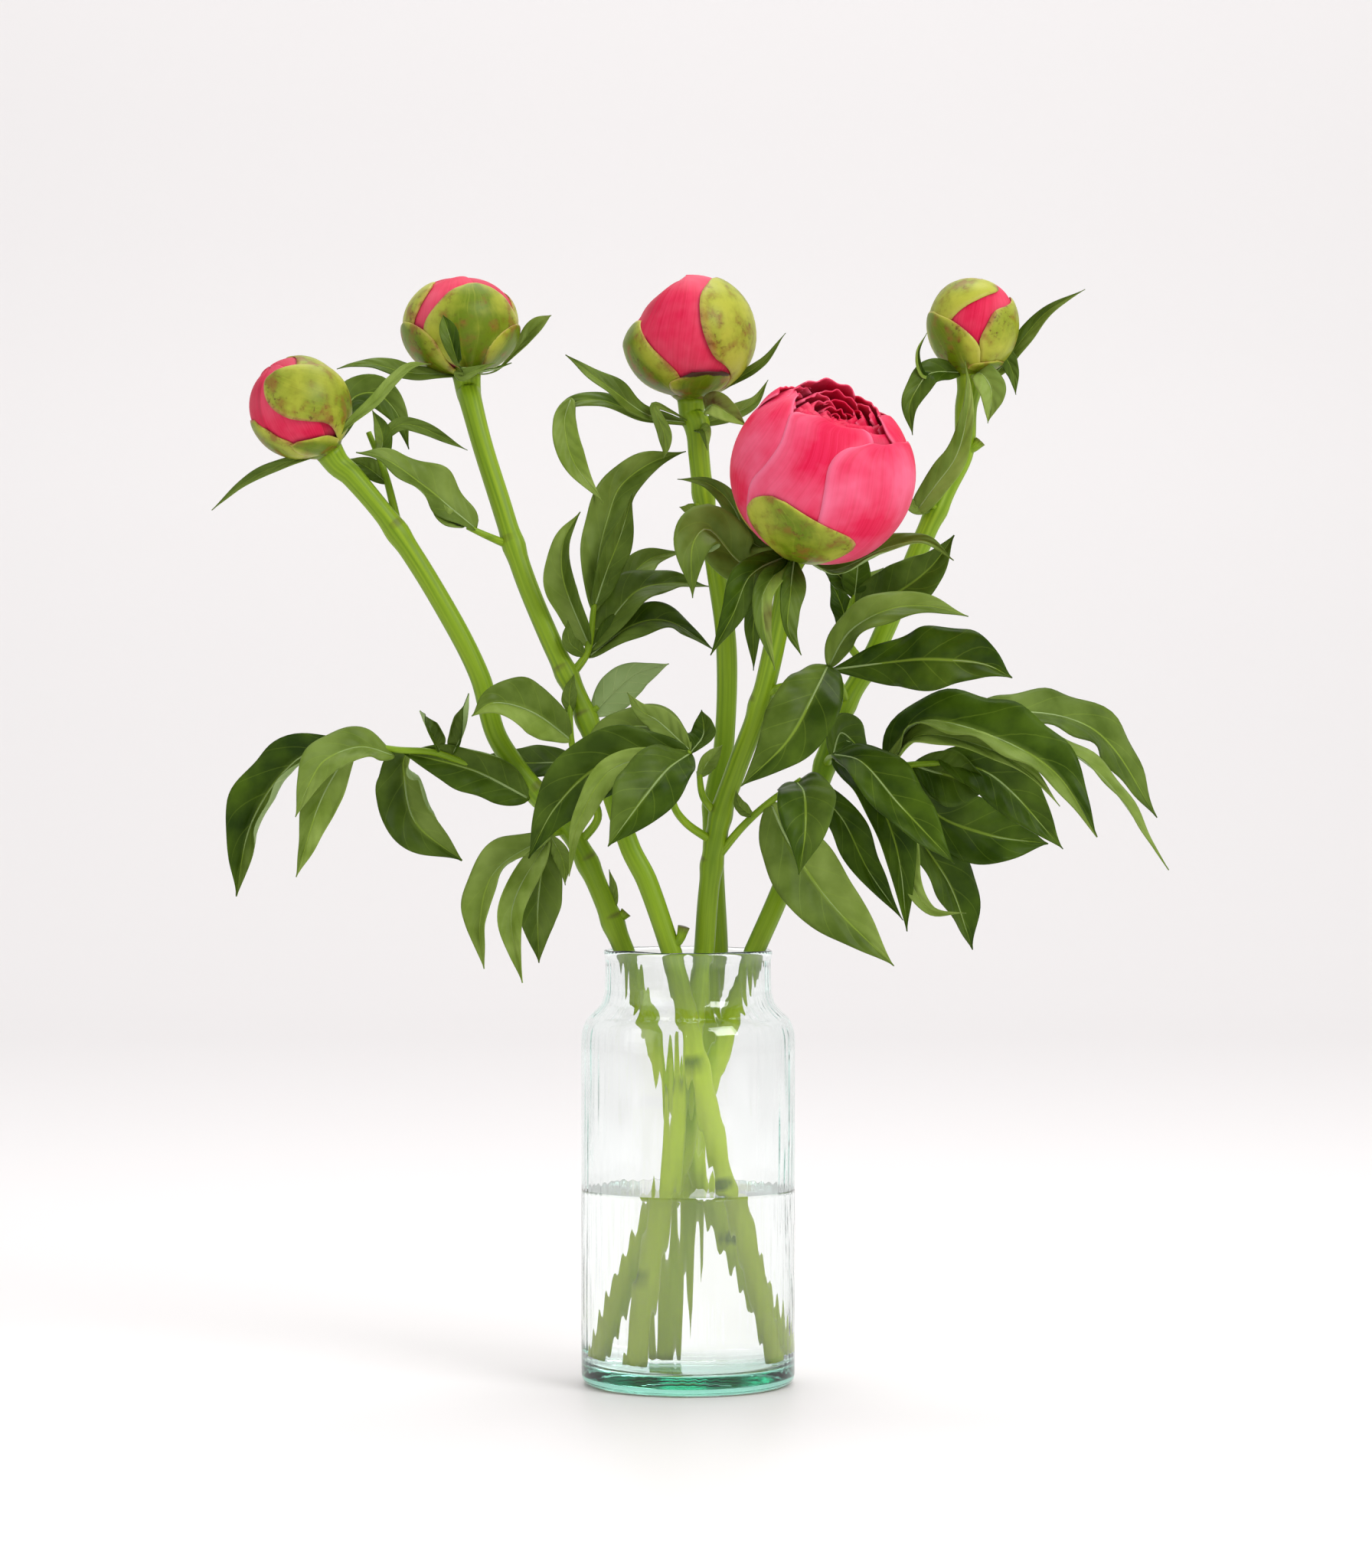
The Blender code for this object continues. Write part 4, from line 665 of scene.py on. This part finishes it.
def sepal_skin(name):
    """Peony sepal, grown: leathery, green in the middle, yellow-green to reddish at its rim, and freckled."""
    skin = new_material(name)
    add, at = skin.add, read_point(skin.add)
    patch = add("TexNoise", at.place, per_metre(13.333), 5)
    speckle = add("TexNoise", at.place, per_metre(2.381), 5, named={"Roughness": 0.65})
    stain = add("TexNoise", at.place, per_metre(6.667), 4)
    # 26 streaks across a sepal are about 1.5 mm wide each.
    lengthwise = add("Mapping", at.uv, named={"Scale": (26, 1.6, 1)})
    streak = add("TexNoise", lengthwise, 1, 3, named={"Distortion": 0.3})
    middle = add("MapRange", at.across, 0.1, 0.46, 0.75, 0, **SMOOTH)
    green = add("Math", middle, at.tone, operation="MULTIPLY")
    greener = add("MapRange", add("Math", patch, 1.5, green, operation="MULTIPLY_ADD"), 0.6, 1.25)
    veined = add("MapRange", streak, 0.52, 0.7, 0, 0.22)
    edge = add("MapRange", at.across, 0.43, 0.5, **SMOOTH)
    tip = add("MapRange", at.along, 0.93, 1, **SMOOTH)
    rim = add("Math", edge, tip, operation="MAXIMUM")
    ruddy = add("MapRange", patch, 0.42, 0.62)
    rim_colour = add("Mix", ruddy, "#B3B04C", "#A87A44", **COLOUR)
    where = add("MapRange", patch, 0.44, 0.62, 0.1, 0.9)
    freckles = add("Math", add("MapRange", speckle, 0.53, 0.66), where, operation="MULTIPLY")
    stains = add("Math", add("MapRange", stain, 0.50, 0.66, 0, 0.75), where, operation="MULTIPLY")
    old = add("Math", at.along, at.tone, operation="MULTIPLY")
    wear = add("Math", stain, 0.6, old, operation="MULTIPLY_ADD")
    withered = add("MapRange", wear, 1.28, 1.38)
    relief = add("Math", streak, 0.5, patch, operation="MULTIPLY_ADD")
    layers = ((greener, "#627808"), (veined, "#B0B03A"), (rim, rim_colour), (freckles, "#5A3A14"),
              (stains, "#8A5A26"), (withered, "#3C2414"))
    leathery = {"Roughness": 0.4, "Specular IOR Level": 0.22}
    return finish_material(skin, "#A9AC38", layers, relief, 0.3, 0.35, leathery)


def petal_skin(name, dark, light, pale, deep):
    """Peony petal, grown: satin, finely streaked lengthwise, paler towards its rim and its claw."""
    skin = new_material(name)
    add, at = skin.add, read_point(skin.add)
    # 60 streaks across a petal are just under 1 mm wide each.
    lengthwise = add("Mapping", at.uv, named={"Scale": (60, 2, 1)})
    streak = add("TexNoise", lengthwise, 1, 3, named={"Distortion": 0.4})
    patch = add("TexNoise", at.place, per_metre(25), 3)
    streaks = add("MapRange", streak, 0.3, 0.72)
    blush = add("MapRange", patch, 0.4, 0.72, 0, 0.42)
    edge = add("MapRange", at.across, 0.4, 0.5, 0, 0.45, **SMOOTH)
    claw = add("MapRange", at.along, 0, 0.32, 0.3, 0, **SMOOTH)
    rim = add("Math", edge, claw, operation="MAXIMUM")
    # The tone darkens a petal towards the deep colour, as painted shade on petals that lie behind others or
    # deep in the mouth.
    shaded = add("MapRange", at.tone, 0.1, 1)
    layers = (streaks, light), (blush, pale), (rim, pale), (shaded, deep)
    satin = {"Roughness": 0.48, "Specular IOR Level": 0.15}
    return finish_material(skin, dark, layers, streak, 0.4, 0.25, satin)


def clear_material(name, index, specular):
    """A clear material with this index of refraction."""
    skin = new_material(name)
    fill(skin.shader, {"Base Color": "#FFFFFF", "Transmission Weight": 1, "Roughness": 0, "IOR": index,
                       "Specular IOR Level": specular})
    return skin


def vase_glass(name):
    """Soda-lime glass, recycled and mould-blown: clear, with a sea-green tint where it is thick."""
    skin = clear_material(name, 1.52, 0.12)
    absorb = skin.add("VolumeAbsorption", (*bpy.context.scene.peony_vase.tint, 1), 12)
    fill(skin.material.node_tree.nodes["Material Output"], {"Volume": absorb})
    return skin.material


def vase_water(name):
    """Tap water, still: clear."""
    return clear_material(name, 1.33, 0.15).material


def backdrop_paint(name):
    """Studio paper, matt: the pale floor that runs up behind the vase."""
    skin = new_material(name)
    fill(skin.shader, {"Base Color": (*bpy.context.scene.peony_stage.backdrop, 1), "Roughness": 0.45})
    return skin.material


TOP, BACK = "peony_leaf_waxy_top", "peony_leaf_matt_back"
STEM, SEPAL = "peony_stem_waxy", "peony_sepal_leathery"
BUD_PETAL, BLOOM_PETAL = "peony_bud_petal_satin", "peony_bloom_petal_satin"
GLASS, WATER, PAPER = "soda_lime_glass_mould_blown", "tap_water_still", "studio_paper_matt"
MATERIALS = {
    TOP: leaf_top, BACK: leaf_back, STEM: stem_skin, SEPAL: sepal_skin, GLASS: vase_glass, WATER: vase_water,
    PAPER: backdrop_paint,
    # deep: the colour of the petals' painted shade.
    BUD_PETAL: partial(petal_skin, dark="#C8103C", light="#D92650", pale="#EE7C90", deep="#A6082E"),
    BLOOM_PETAL: partial(petal_skin, dark="#D20E3E", light="#E02654", pale="#F68FB0", deep="#D41040"),
}


# ---------------------------------------------------------------- leaves
LEAFLET_ROWS, LEAFLET_COLUMNS = 44, 12


def leaflet_width(along, peak):
    """How much of its full width a leaflet has at this share of its length: broad, with a drawn-out tip."""
    swell = sin(pi * along ** (log(0.5) / log(peak))) ** (0.72 + 0.50 * along)
    return max(swell, 0.05 if along < 0.5 else 0.012)


def half_section(out, fold, roll):
    """Run and rise of half a blade from the midrib outwards, as shares of its width: it folds, then rolls."""
    steps = max(1, round(out * 12))
    run = rise = 0.0
    for step in range(steps):
        at = (step + 0.5) / steps * out
        slope = fold * (1.3 - 0.5 * at) + roll * at ** 3
        run += cos(slope) * out / steps
        rise += sin(slope) * out / steps
    return run, rise


def leaflet(form, blade, index, seed):
    """One leaflet: folded along its midrib, bulging between its veins, with a waved edge."""
    plant = bpy.context.scene.peony_plant
    path = smooth_path(blade.midrib, LEAFLET_ROWS)
    facing = Vector(blade.facing).normalized()
    tangents = tangents_of(path)
    normals = []
    for at, tangent in enumerate(tangents):
        square = (facing - tangent * facing.dot(tangent)).normalized()
        turn = radians(blade.twist) * (at / LEAFLET_ROWS) ** 2
        normals.append(Matrix.Rotation(turn, 3, tangent) @ square)
    waves = max(1.5, sum((b - a).length for a, b in zip(path, path[1:])) / 30)

    def place(across, along):
        at = round(along * LEAFLET_ROWS)
        share = leaflet_width(along, blade.peak)
        out, side = abs(across), 1 if across > 0 else 0
        ragged = 1 + 0.13 * noise.noise(Vector((seed * 3.1 + side * 7, along * 4.5, 0)))
        roll = blade.roll[side] * (0.3 + 0.7 * sin(pi * min(1.0, along * 1.1)))
        run, rise = (blade.width / 2 * share * ragged * part for part in half_section(out, blade.fold, roll))
        wave = blade.wave * out * out * sin(2 * pi * waves * along + seed * 2.4 + 1.1 * side)
        bulge = sin(pi * out) * abs(sin(pi * plant.vein_pairs * (along - out * 0.22)))
        uneven = noise.noise(Vector((seed + across, along * 3, 4)))
        rise += blade.width * share * (0.06 * wave + 0.022 * bulge + 0.05 * uneven)
        sideways = tangents[at].cross(normals[at])
        return path[at] + sideways * (run if side else -run) + normals[at] * rise

    # Each half takes its own tone, which holds painted light and shade for how that half is lit as well as its
    # own green.
    def tone(across, along):
        return blade.tone[0] + (blade.tone[1] - blade.tone[0]) * ramp(across, -0.125, 0.125)

    surface(form, LEAFLET_COLUMNS, LEAFLET_ROWS, place, index, tone, plant.leaf_thickness)
    sink = plant.leaf_thickness / MM * 0.8
    rib = [spot - normal * sink for spot, normal in zip(path, normals)][1:-2:2]
    thick = min(1.0, blade.width / 14)
    tube(form, rib, tapered(0.75 * thick, 0.25 * thick), 6, index + 1)


class PEONY_OT_leaves(bpy.types.Operator):
    """Leafy shoots: stalks and leaflets with veins, waved edges and pale undersides"""
    bl_idname = "peony.leaves"
    bl_label = "Leaves"

    def execute(self, context):
        for rank, leaf in enumerate(LEAVES):
            form = new_form()
            for points in leaf.stalks:
                tube(form, smooth_path(points, 8 * len(points)), tapered(2.1, 1.3), 12, 2, 0.4)
            for number, blade in enumerate(leaf.leaflets):
                leaflet(form, blade, 0, rank * 3.7 + number)
            finish_piece(leaf.node + "_foliage", form, (TOP, BACK, STEM), leaf.node)
        return {"FINISHED"}


# ---------------------------------------------------------------- stems
def stem_path(number, flower):
    """The stem's centreline: straight in the vase, curved above it, in line with its flower at the end."""
    axis = Vector(flower.axis).normalized()
    foot, neck, *rest = [Vector(point) for point in STEMS[number]]
    top = Vector(flower.centre) - axis * (flower.height / 2 + 1.5)
    return smooth_path([foot, neck], 50)[:-1] + smooth_path([neck, *rest, top - axis * 8, top], 110)


def bell(distance, width):
    """1 at no distance, falling off smoothly over about this width."""
    return exp(-(distance / width) ** 2)


class PEONY_OT_stems(bpy.types.Operator):
    """Stems: ridged rods that swell at their joints, with the stubs of cut-off leaves"""
    bl_idname = "peony.stems"
    bl_label = "Stems"

    def execute(self, context):
        for flower in (*BUDS, BLOOM):
            number = flower.stem
            path = stem_path(number, flower)
            form = new_form()

            def radius(angle, along):
                height = path[round(along * (len(path) - 1))].z
                swell = sum(0.9 * bell(height - joint, 4.5) for joint in JOINTS[number])
                swell += 2.0 * exp(-(1 - along) * len(path) / 5)
                ridges = 0.06 * cos(5 * angle + number) + 0.03 * cos(11 * angle + 2 * number)
                return STEM_RADIUS + swell + ridges + 0.15 * noise.noise(Vector((number * 9, height / 25, 0)))

            # The tone is 0 up to 150 mm and 0.3 from 195 mm, so the stem in the water gets its painted light; a
            # scar raises it.
            def tone(across, along):
                height = path[min(len(path) - 1, max(0, round(along * (len(path) + 1)) - 1))].z
                scar = sum(0.55 * bell(height - joint - 3, 2.0) for joint in JOINTS[number])
                return min(0.3, max(0.0, (height - 150) / 150)) + scar * max(0.0, sin(pi * across + number))

            tube(form, path, radius, 30, 0, tone)
            if number in STUBS:
                tube(form, smooth_path(STUBS[number], 10), lambda angle, along: 2.9 - 0.8 * sin(pi * along),
                     14, 0, lambda across, along: 0.3 + 0.7 * along ** 3)
            finish_piece("stem_%d_skin" % number, form, (STEM,), "stem_%d" % number)
        return {"FINISHED"}


# ---------------------------------------------------------------- flowers
KEY_SCALE = 140              # while a plate's keys are smoothed, its full height counts as much as 140 degrees


def flower_axes(flower):
    """The flower's own directions: along its axis, to the front and to the right."""
    axis = Vector(flower.axis).normalized()
    front = Vector((0, -1, 0))
    forward = (front - axis * front.dot(axis)).normalized()
    return axis, forward, axis.cross(forward)


def flower_point(flower, azimuth, height, lift):
    """A point on the flower's round surface: height 0 at its base, 1 at its apex, azimuth in degrees."""
    axis, forward, right = flower_axes(flower)
    angle = radians(azimuth)
    out = forward * cos(angle) + right * sin(angle)
    height = min(max(height, 0.001), 0.999)
    pressed = flower.flat * max(0.0, cos(radians(azimuth + 85))) ** 1.5 * ramp(height, 0.47, 0.63)
    rise = axis * (-flower.height / 2 * cos(pi * height))
    reach = out * (flower.radius * sin(pi * height) ** 0.92)
    return Vector(flower.centre) + (rise + reach) * (1 + (lift - pressed) / flower.radius)


def keyed_plate(form, flower, plate, columns, rows, thickness, seed, crinkle=0.0):
    """A sepal or large petal on the flower's round form, between the left and right edge its keys give."""
    keys = smooth_path([(height * KEY_SCALE, left, right) for height, left, right in plate.keys], rows)

    def place(across, along):
        height, left, right = keys[round(along * rows)]
        height /= KEY_SCALE
        azimuth = left + (right - left) * (across + 1) / 2
        wobble = noise.noise(Vector((seed * 5.3, azimuth / 22, height * 6)))
        lift = plate.lift + 0.3 * wobble - 0.6 * abs(across) ** 6 - 0.4 * along ** 10
        lift += crinkle * along ** 5 * sin(azimuth / 7 + seed)
        return flower_point(flower, azimuth, height + 0.012 * along ** 4 * wobble, lift)

    surface(form, columns, rows, place, 0, plate.tone, thickness)


def make_calyx(flower, rank):
    """The flower's receptacle, sepals and bracts."""
    axis = flower_axes(flower)[0]
    form = new_form()
    thickness = bpy.context.scene.peony_plant.sepal_thickness
    for number, plate in enumerate(flower.plates):
        keyed_plate(form, flower, plate, 22, 26, thickness, rank * 7 + number)
    base = Vector(flower.centre) - axis * (flower.height / 2)
    cup = [base + axis * height for height in (-4, -2.5, -0.5, 1.5, 3)]
    tube(form, cup, stepped((STEM_RADIUS + 0.3, STEM_RADIUS + 1.2, 8.5, 10.5, 6.0)), 30, 0, 0.9)
    for number, blade in enumerate(flower.bracts):
        middle = base - axis
        outward = Vector(blade.midrib[0]) - middle
        root = middle + (outward - axis * outward.dot(axis)).normalized() * 4.5
        leaflet(form, blade._replace(midrib=(root, *blade.midrib)), 2, rank * 5 + number)
    finish_piece(flower.name + "_calyx", form, (SEPAL, SEPAL, TOP, BACK), flower.name + "_sepals")


class PEONY_OT_buds(bpy.types.Operator):
    """Closed buds: a ball of folded petals, its sepals and its leaf-like bracts"""
    bl_idname = "peony.buds"
    bl_label = "Buds"

    def execute(self, context):
        for rank, flower in enumerate(BUDS):
            form = new_form()
            seams = [*flower.seams, flower.seams[0] + 360]
            for number, (start, end) in enumerate(zip(seams, seams[1:])):
                def place(across, along):
                    share = (across + 1) / 2
                    azimuth = start + (end - start + 16) * share + flower.lean * (along - 0.5)
                    lift = -1.1 * (1 - min(1.0, share * 1.12)) ** 0.8 - 0.25 * abs(2 * share - 1) ** 6
                    lift += 0.25 * sin(azimuth / 5.5) * along * (1 - along)
                    lift -= 1.3 if share > 0.93 else 0
                    return flower_point(flower, azimuth, 0.02 + 0.975 * along, lift)

                # Every other petal is painted deeper, as painted shade where one petal lies behind the next.
                surface(form, 40, 36, place, 0, 0.15 + 0.35 * (number % 2))
            finish_piece(flower.name + "_folded_petals", form, (BUD_PETAL,),
                         flower.name + "_petals")
            make_calyx(flower, rank)
        return {"FINISHED"}


class PEONY_OT_bloom(bpy.types.Operator):
    """The opening bloom: large cupped outer petals, and ruffled petals packed in its mouth"""
    bl_idname = "peony.bloom"
    bl_label = "Bloom"

    def execute(self, context):
        thickness = context.scene.peony_plant.petal_thickness
        axis, forward, right = flower_axes(BLOOM)
        centre = Vector(BLOOM.centre)
        form = new_form()
        for number, plate in enumerate(BLOOM_PETALS):
            keyed_plate(form, BLOOM, plate, 36, 40, thickness, 40 + number, 0.5)
        for number, (turn, half, low, high, top, tone) in enumerate(INNER_PETALS):
            def place(across, along):
                frill = noise.noise(Vector((number * 4.7, across * 2.6, 0)))
                angle = radians(turn + half * across * (0.55 + 0.45 * along))
                out = forward * cos(angle) + right * sin(angle)
                reach = low + (high - low) * along ** 1.5 + 3.0 * sin(pi * along) + frill * 1.6 * along ** 3
                reach += 2.4 * across - 2.5 * along ** 6
                height = 4 + (top - 4) * along - 2.6 * along * abs(across) ** 3
                height += along ** 4 * (frill + 0.25 * sin(across * 7 + number))
                return centre + axis * height + out * reach

            surface(form, 28, 22, place, 0, tone, thickness)
        heart = [centre + axis * height for height in (-38, -30, -10, 8, 14)]
        tube(form, heart, stepped((4, 18, 30, 27, 8)), 24)
        finish_piece("bloom_layered_petals", form, (BLOOM_PETAL, BLOOM_PETAL), "bloom_petals")
        make_calyx(BLOOM, 9)
        return {"FINISHED"}


# ---------------------------------------------------------------- vase and water (radius and height in mm)
VASE_CORNER = ((44, 0), (47.6, 0.7), (49.3, 2.4), (49.9, 5.2))
VASE_SHOULDER = ((50, 158), (49.6, 164.5), (47.2, 170.3), (43.4, 174.2), (40.4, 178), (39, 183))
VASE_LIP = ((38.7, 197), (39.2, 200.2), (39.4, 201.6), (38.7, 202.6), (37.6, 202.3), (37.0, 200.8), (36.6, 198))
VASE_INNER_SHOULDER = ((36.7, 183), (38.2, 177.2), (41.4, 172.9), (45.2, 169), (47.2, 163.8), (47.7, 157))
VASE_INNER_CORNER = ((47.7, 20), (47.2, 14), (44.6, 10.4), (39.5, 8.6), (30, 8.0))
INNER_RADIUS = 47.7
RIBS_FROM, RIBS_TO = 10, 199
LIP_UNEVEN_FROM, LIP_UNEVEN = 195, 0.5
PROFILE_STEPS = 324          # columns round the vase and the water
WATER_OVERLAP = 0.06         # how far the water reaches into the glass, so that no air shows between them


def straight(start, end, spans):
    """Evenly spaced points from the start to the end."""
    return [Vector((*start, 0)).lerp(Vector((*end, 0)), step / spans) for step in range(spans + 1)]


def curved(points, spans):
    """Evenly spaced places on a smooth curve through the points."""
    return smooth_path([(*point, 0) for point in points], spans)


def turned(form, parts, reshape):
    """Spin the profile, whose parts each start where the last one ends, and then reshape each point."""
    profile = [point for part in parts[:-1] for point in part[:-1]] + parts[-1]
    verts = [form.verts.new((point.x * MM, 0, point.y * MM)) for point in profile]
    edges = [form.edges.new(pair) for pair in zip(verts, verts[1:])]
    bmesh.ops.spin(form, geom=[*verts, *edges], cent=(0, 0, 0), axis=(0, 0, 1), angle=2 * pi,
                   steps=PROFILE_STEPS, use_merge=True, use_duplicate=False)
    bmesh.ops.remove_doubles(form, verts=form.verts, dist=1e-6)
    for vert in form.verts:
        radius = vert.co.xy.length / MM
        if radius > 0.1:
            new_radius, new_height = reshape(radius, vert.co.z / MM, atan2(vert.co.y, vert.co.x))
            vert.co.xy *= new_radius / radius
            vert.co.z = new_height * MM
    bmesh.ops.recalc_face_normals(form, faces=form.faces)
    for face in form.faces:
        face.smooth = True


def round_noise(angle, height, radius, offset=(0, 0), scale=30):
    """Noise that closes round the vase; the larger the radius, the more often it changes on the way round."""
    across = offset[0] + cos(angle) * radius
    return noise.noise(Vector((across, offset[1] + sin(angle) * radius, height / scale)))


def inner_ribs(vase, height, angle):
    """How far the glass's inner face stands in from its smooth form at this place, in mm."""
    fade = ramp(height, RIBS_FROM, RIBS_FROM + 8) * ramp(-height, -RIBS_TO, 4 - RIBS_TO)
    strength = vase.rib_depth / MM * (0.6 if height > 175 else 1)
    uneven = 0.5 + 1.5 * round_noise(angle, height, 5, (9, 0), 60)
    ribs = cos(vase.ribs * (angle + 0.02 * sin(height / 30)))
    waves = vase.waviness / MM * 2 * round_noise(angle, height, 4.5, scale=26)
    return fade * (strength * uneven * ribs + waves)


class PEONY_OT_vase(bpy.types.Operator):
    """Glass vase with a short neck, soft ribs, an uneven lip and a thick foot"""
    bl_idname = "peony.vase"
    bl_label = "Vase"

    def execute(self, context):
        vase = context.scene.peony_vase

        def reshape(radius, height, angle):
            wall = 48.5 if height < 160 else 38.0 if height > 182 else min(48.5, 37.9 + (182 - height) * 0.55)
            if height > 7.5 and radius < wall:
                radius -= inner_ribs(vase, height, angle)
            else:
                low = ramp(-height, -100, -80) * ramp(height, 8, 16)
                uneven = 0.6 + 1.4 * round_noise(angle, height, 6, (0, 3), 40)
                radius += 0.05 * round_noise(angle, height, 3)
                radius += 0.09 * low * uneven * cos(vase.ribs * angle) if radius > 49 else 0
            if height > LIP_UNEVEN_FROM:
                height += LIP_UNEVEN * round_noise(angle, 5, 2.2, scale=1) * (height - LIP_UNEVEN_FROM) / 6
            return radius, max(height, 0.0)

        form = new_form()
        parts = [straight((0, 0), (44, 0), 8), curved(VASE_CORNER, 8), straight((49.9, 5.2), (50, 158), 40),
                 curved(VASE_SHOULDER, 22), straight((39, 183), (38.7, 197), 5), curved(VASE_LIP, 18),
                 straight((36.6, 198), (36.7, 183), 10), curved(VASE_INNER_SHOULDER, 22),
                 straight((INNER_RADIUS, 157), (INNER_RADIUS, 20), 70), curved(VASE_INNER_CORNER, 14),
                 straight((30, 8), (0, 8.6), 6)]
        turned(form, parts, reshape)
        finish_piece("vase_ribbed_glass", form, (GLASS,), "glass_vase")
        return {"FINISHED"}


class PEONY_OT_water(bpy.types.Operator):
    """Water that fills the vase up to its level and follows the glass's ribs"""
    bl_idname = "peony.water"
    bl_label = "Water"

    def execute(self, context):
        vase = context.scene.peony_vase
        level = vase.water_level / MM
        edge = INNER_RADIUS + WATER_OVERLAP

        def reshape(radius, height, angle):
            if radius > 44 and height > 9:
                radius -= inner_ribs(vase, height, angle) * min(1.0, (radius - 44) / 3)
            return radius, height

        form = new_form()
        floor = [point - Vector((0, WATER_OVERLAP, 0)) for point in straight((0, 8.6), (30, 8), 6)]
        corner = [point + Vector((WATER_OVERLAP, -WATER_OVERLAP, 0))
                  for point in reversed(curved(VASE_INNER_CORNER, 14))]
        parts = [floor, corner, straight((edge, 20), (edge, level), 36),
                 straight((edge, level), (43, level), 4), straight((43, level), (0, level), 8)]
        turned(form, parts, reshape)
        finish_piece("water_in_vase", form, (WATER,), "water")
        return {"FINISHED"}


# ---------------------------------------------------------------- stage
def softbox(name, place, target, size, power):
    """A rectangular area lamp at the place that shines at the target."""
    light = bpy.data.lights.new(name, "AREA")
    light.shape = "RECTANGLE"
    light.size, light.size_y = size
    light.energy = power
    holder = bpy.data.objects.new(name, light)
    holder.location = place
    holder.rotation_euler = (Vector(target) - Vector(place)).to_track_quat("-Z", "Y").to_euler()
    bpy.context.scene.collection.objects.link(holder)


class PEONY_OT_stage(bpy.types.Operator):
    """Pale floor and backdrop, soft studio light and the camera"""
    bl_idname = "peony.stage"
    bl_label = "Stage"

    def execute(self, context):
        scene, stage = context.scene, context.scene.peony_stage
        route = [Vector((0, -2600, 0)), Vector((0, 0, 0)), Vector((0, 2600, 0))]
        for step in range(1, 13):
            turn = pi / 2 * step / 12
            route.append(Vector((0, 2600 + 1200 * sin(turn), 1200 - 1200 * cos(turn))))
        route.append(Vector((0, 3800, 4200)))
        form = new_form()
        rows = len(route) - 1
        surface(form, 2, rows,
                lambda across, along: route[round(along * rows)] + Vector((4200 * across, 0, -0.05)))
        make_object("backdrop", form, (PAPER,))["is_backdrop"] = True
        softbox("key_softbox", (1.3, -1.3, 1.5), (0, 0, 0.25), (1.0, 1.0), 24)
        softbox("fill_softbox", (-1.7, -1.2, 0.9), (0, 0, 0.25), (1.2, 1.4), 5)
        softbox("top_softbox", (0.1, 0.3, 1.7), (0, 0, 0.3), (1.2, 0.9), 9)
        softbox("backdrop_softbox", (0, 1.3, 3.6), (0, 4.0, 1.3), (3.5, 1.0), 34)
        scene.world = bpy.data.worlds.new("studio")
        scene.world.use_nodes = True
        fill(scene.world.node_tree.nodes["Background"], {"Color": "#FFFDFD", "Strength": 0.72})
        scene.view_settings.view_transform = "Standard"
        # Light passes many faces on its way through glass, water and glass.
        scene.cycles.max_bounces = scene.cycles.transmission_bounces = scene.cycles.glossy_bounces = 24
        lens = bpy.data.cameras.new("camera")
        lens.sensor_width = 36
        lens.lens = stage.lens
        camera = bpy.data.objects.new("camera", lens)
        camera.location = (-0.001, -stage.camera_distance, stage.camera_height)
        camera.rotation_euler = (pi / 2, 0, 0)
        scene.collection.objects.link(camera)
        scene.camera = camera
        return {"FINISHED"}


class PEONY_PT_panel(bpy.types.Panel):
    """Sizes and colours, and a button for each group of pieces"""
    bl_idname = "PEONY_PT_panel"
    bl_label = "Peonies"
    bl_space_type = "VIEW_3D"
    bl_region_type = "UI"
    bl_category = "Peonies"

    def draw(self, context):
        for group in (context.scene.peony_vase, context.scene.peony_plant, context.scene.peony_stage):
            box = self.layout.box()
            for name in group.__annotations__:
                box.prop(group, name)
        for operator in OPERATORS:
            self.layout.operator(operator.bl_idname)


OPERATORS = (PEONY_OT_stage, PEONY_OT_vase, PEONY_OT_water, PEONY_OT_stems, PEONY_OT_leaves, PEONY_OT_buds,
             PEONY_OT_bloom)
SETTINGS = {"peony_vase": VaseSettings, "peony_plant": PlantSettings, "peony_stage": StageSettings}


def register():
    for entry in (*SETTINGS.values(), *OPERATORS, PEONY_PT_panel):
        bpy.utils.register_class(entry)
    for name, group in SETTINGS.items():
        setattr(bpy.types.Scene, name, PointerProperty(type=group))


def unregister():
    for name in SETTINGS:
        delattr(bpy.types.Scene, name)
    for entry in reversed((*SETTINGS.values(), *OPERATORS, PEONY_PT_panel)):
        bpy.utils.unregister_class(entry)


def main():
    register()
    bpy.ops.peony.stage()
    bpy.ops.peony.vase()
    bpy.ops.peony.water()
    bpy.ops.peony.stems()
    bpy.ops.peony.leaves()
    bpy.ops.peony.buds()
    bpy.ops.peony.bloom()
    boxes = {"cad": CAD_BOX, "visual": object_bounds()}
    plain = {name: [list(corner) for corner in box] for name, box in boxes.items()}


if __name__ == "__main__":
    main()
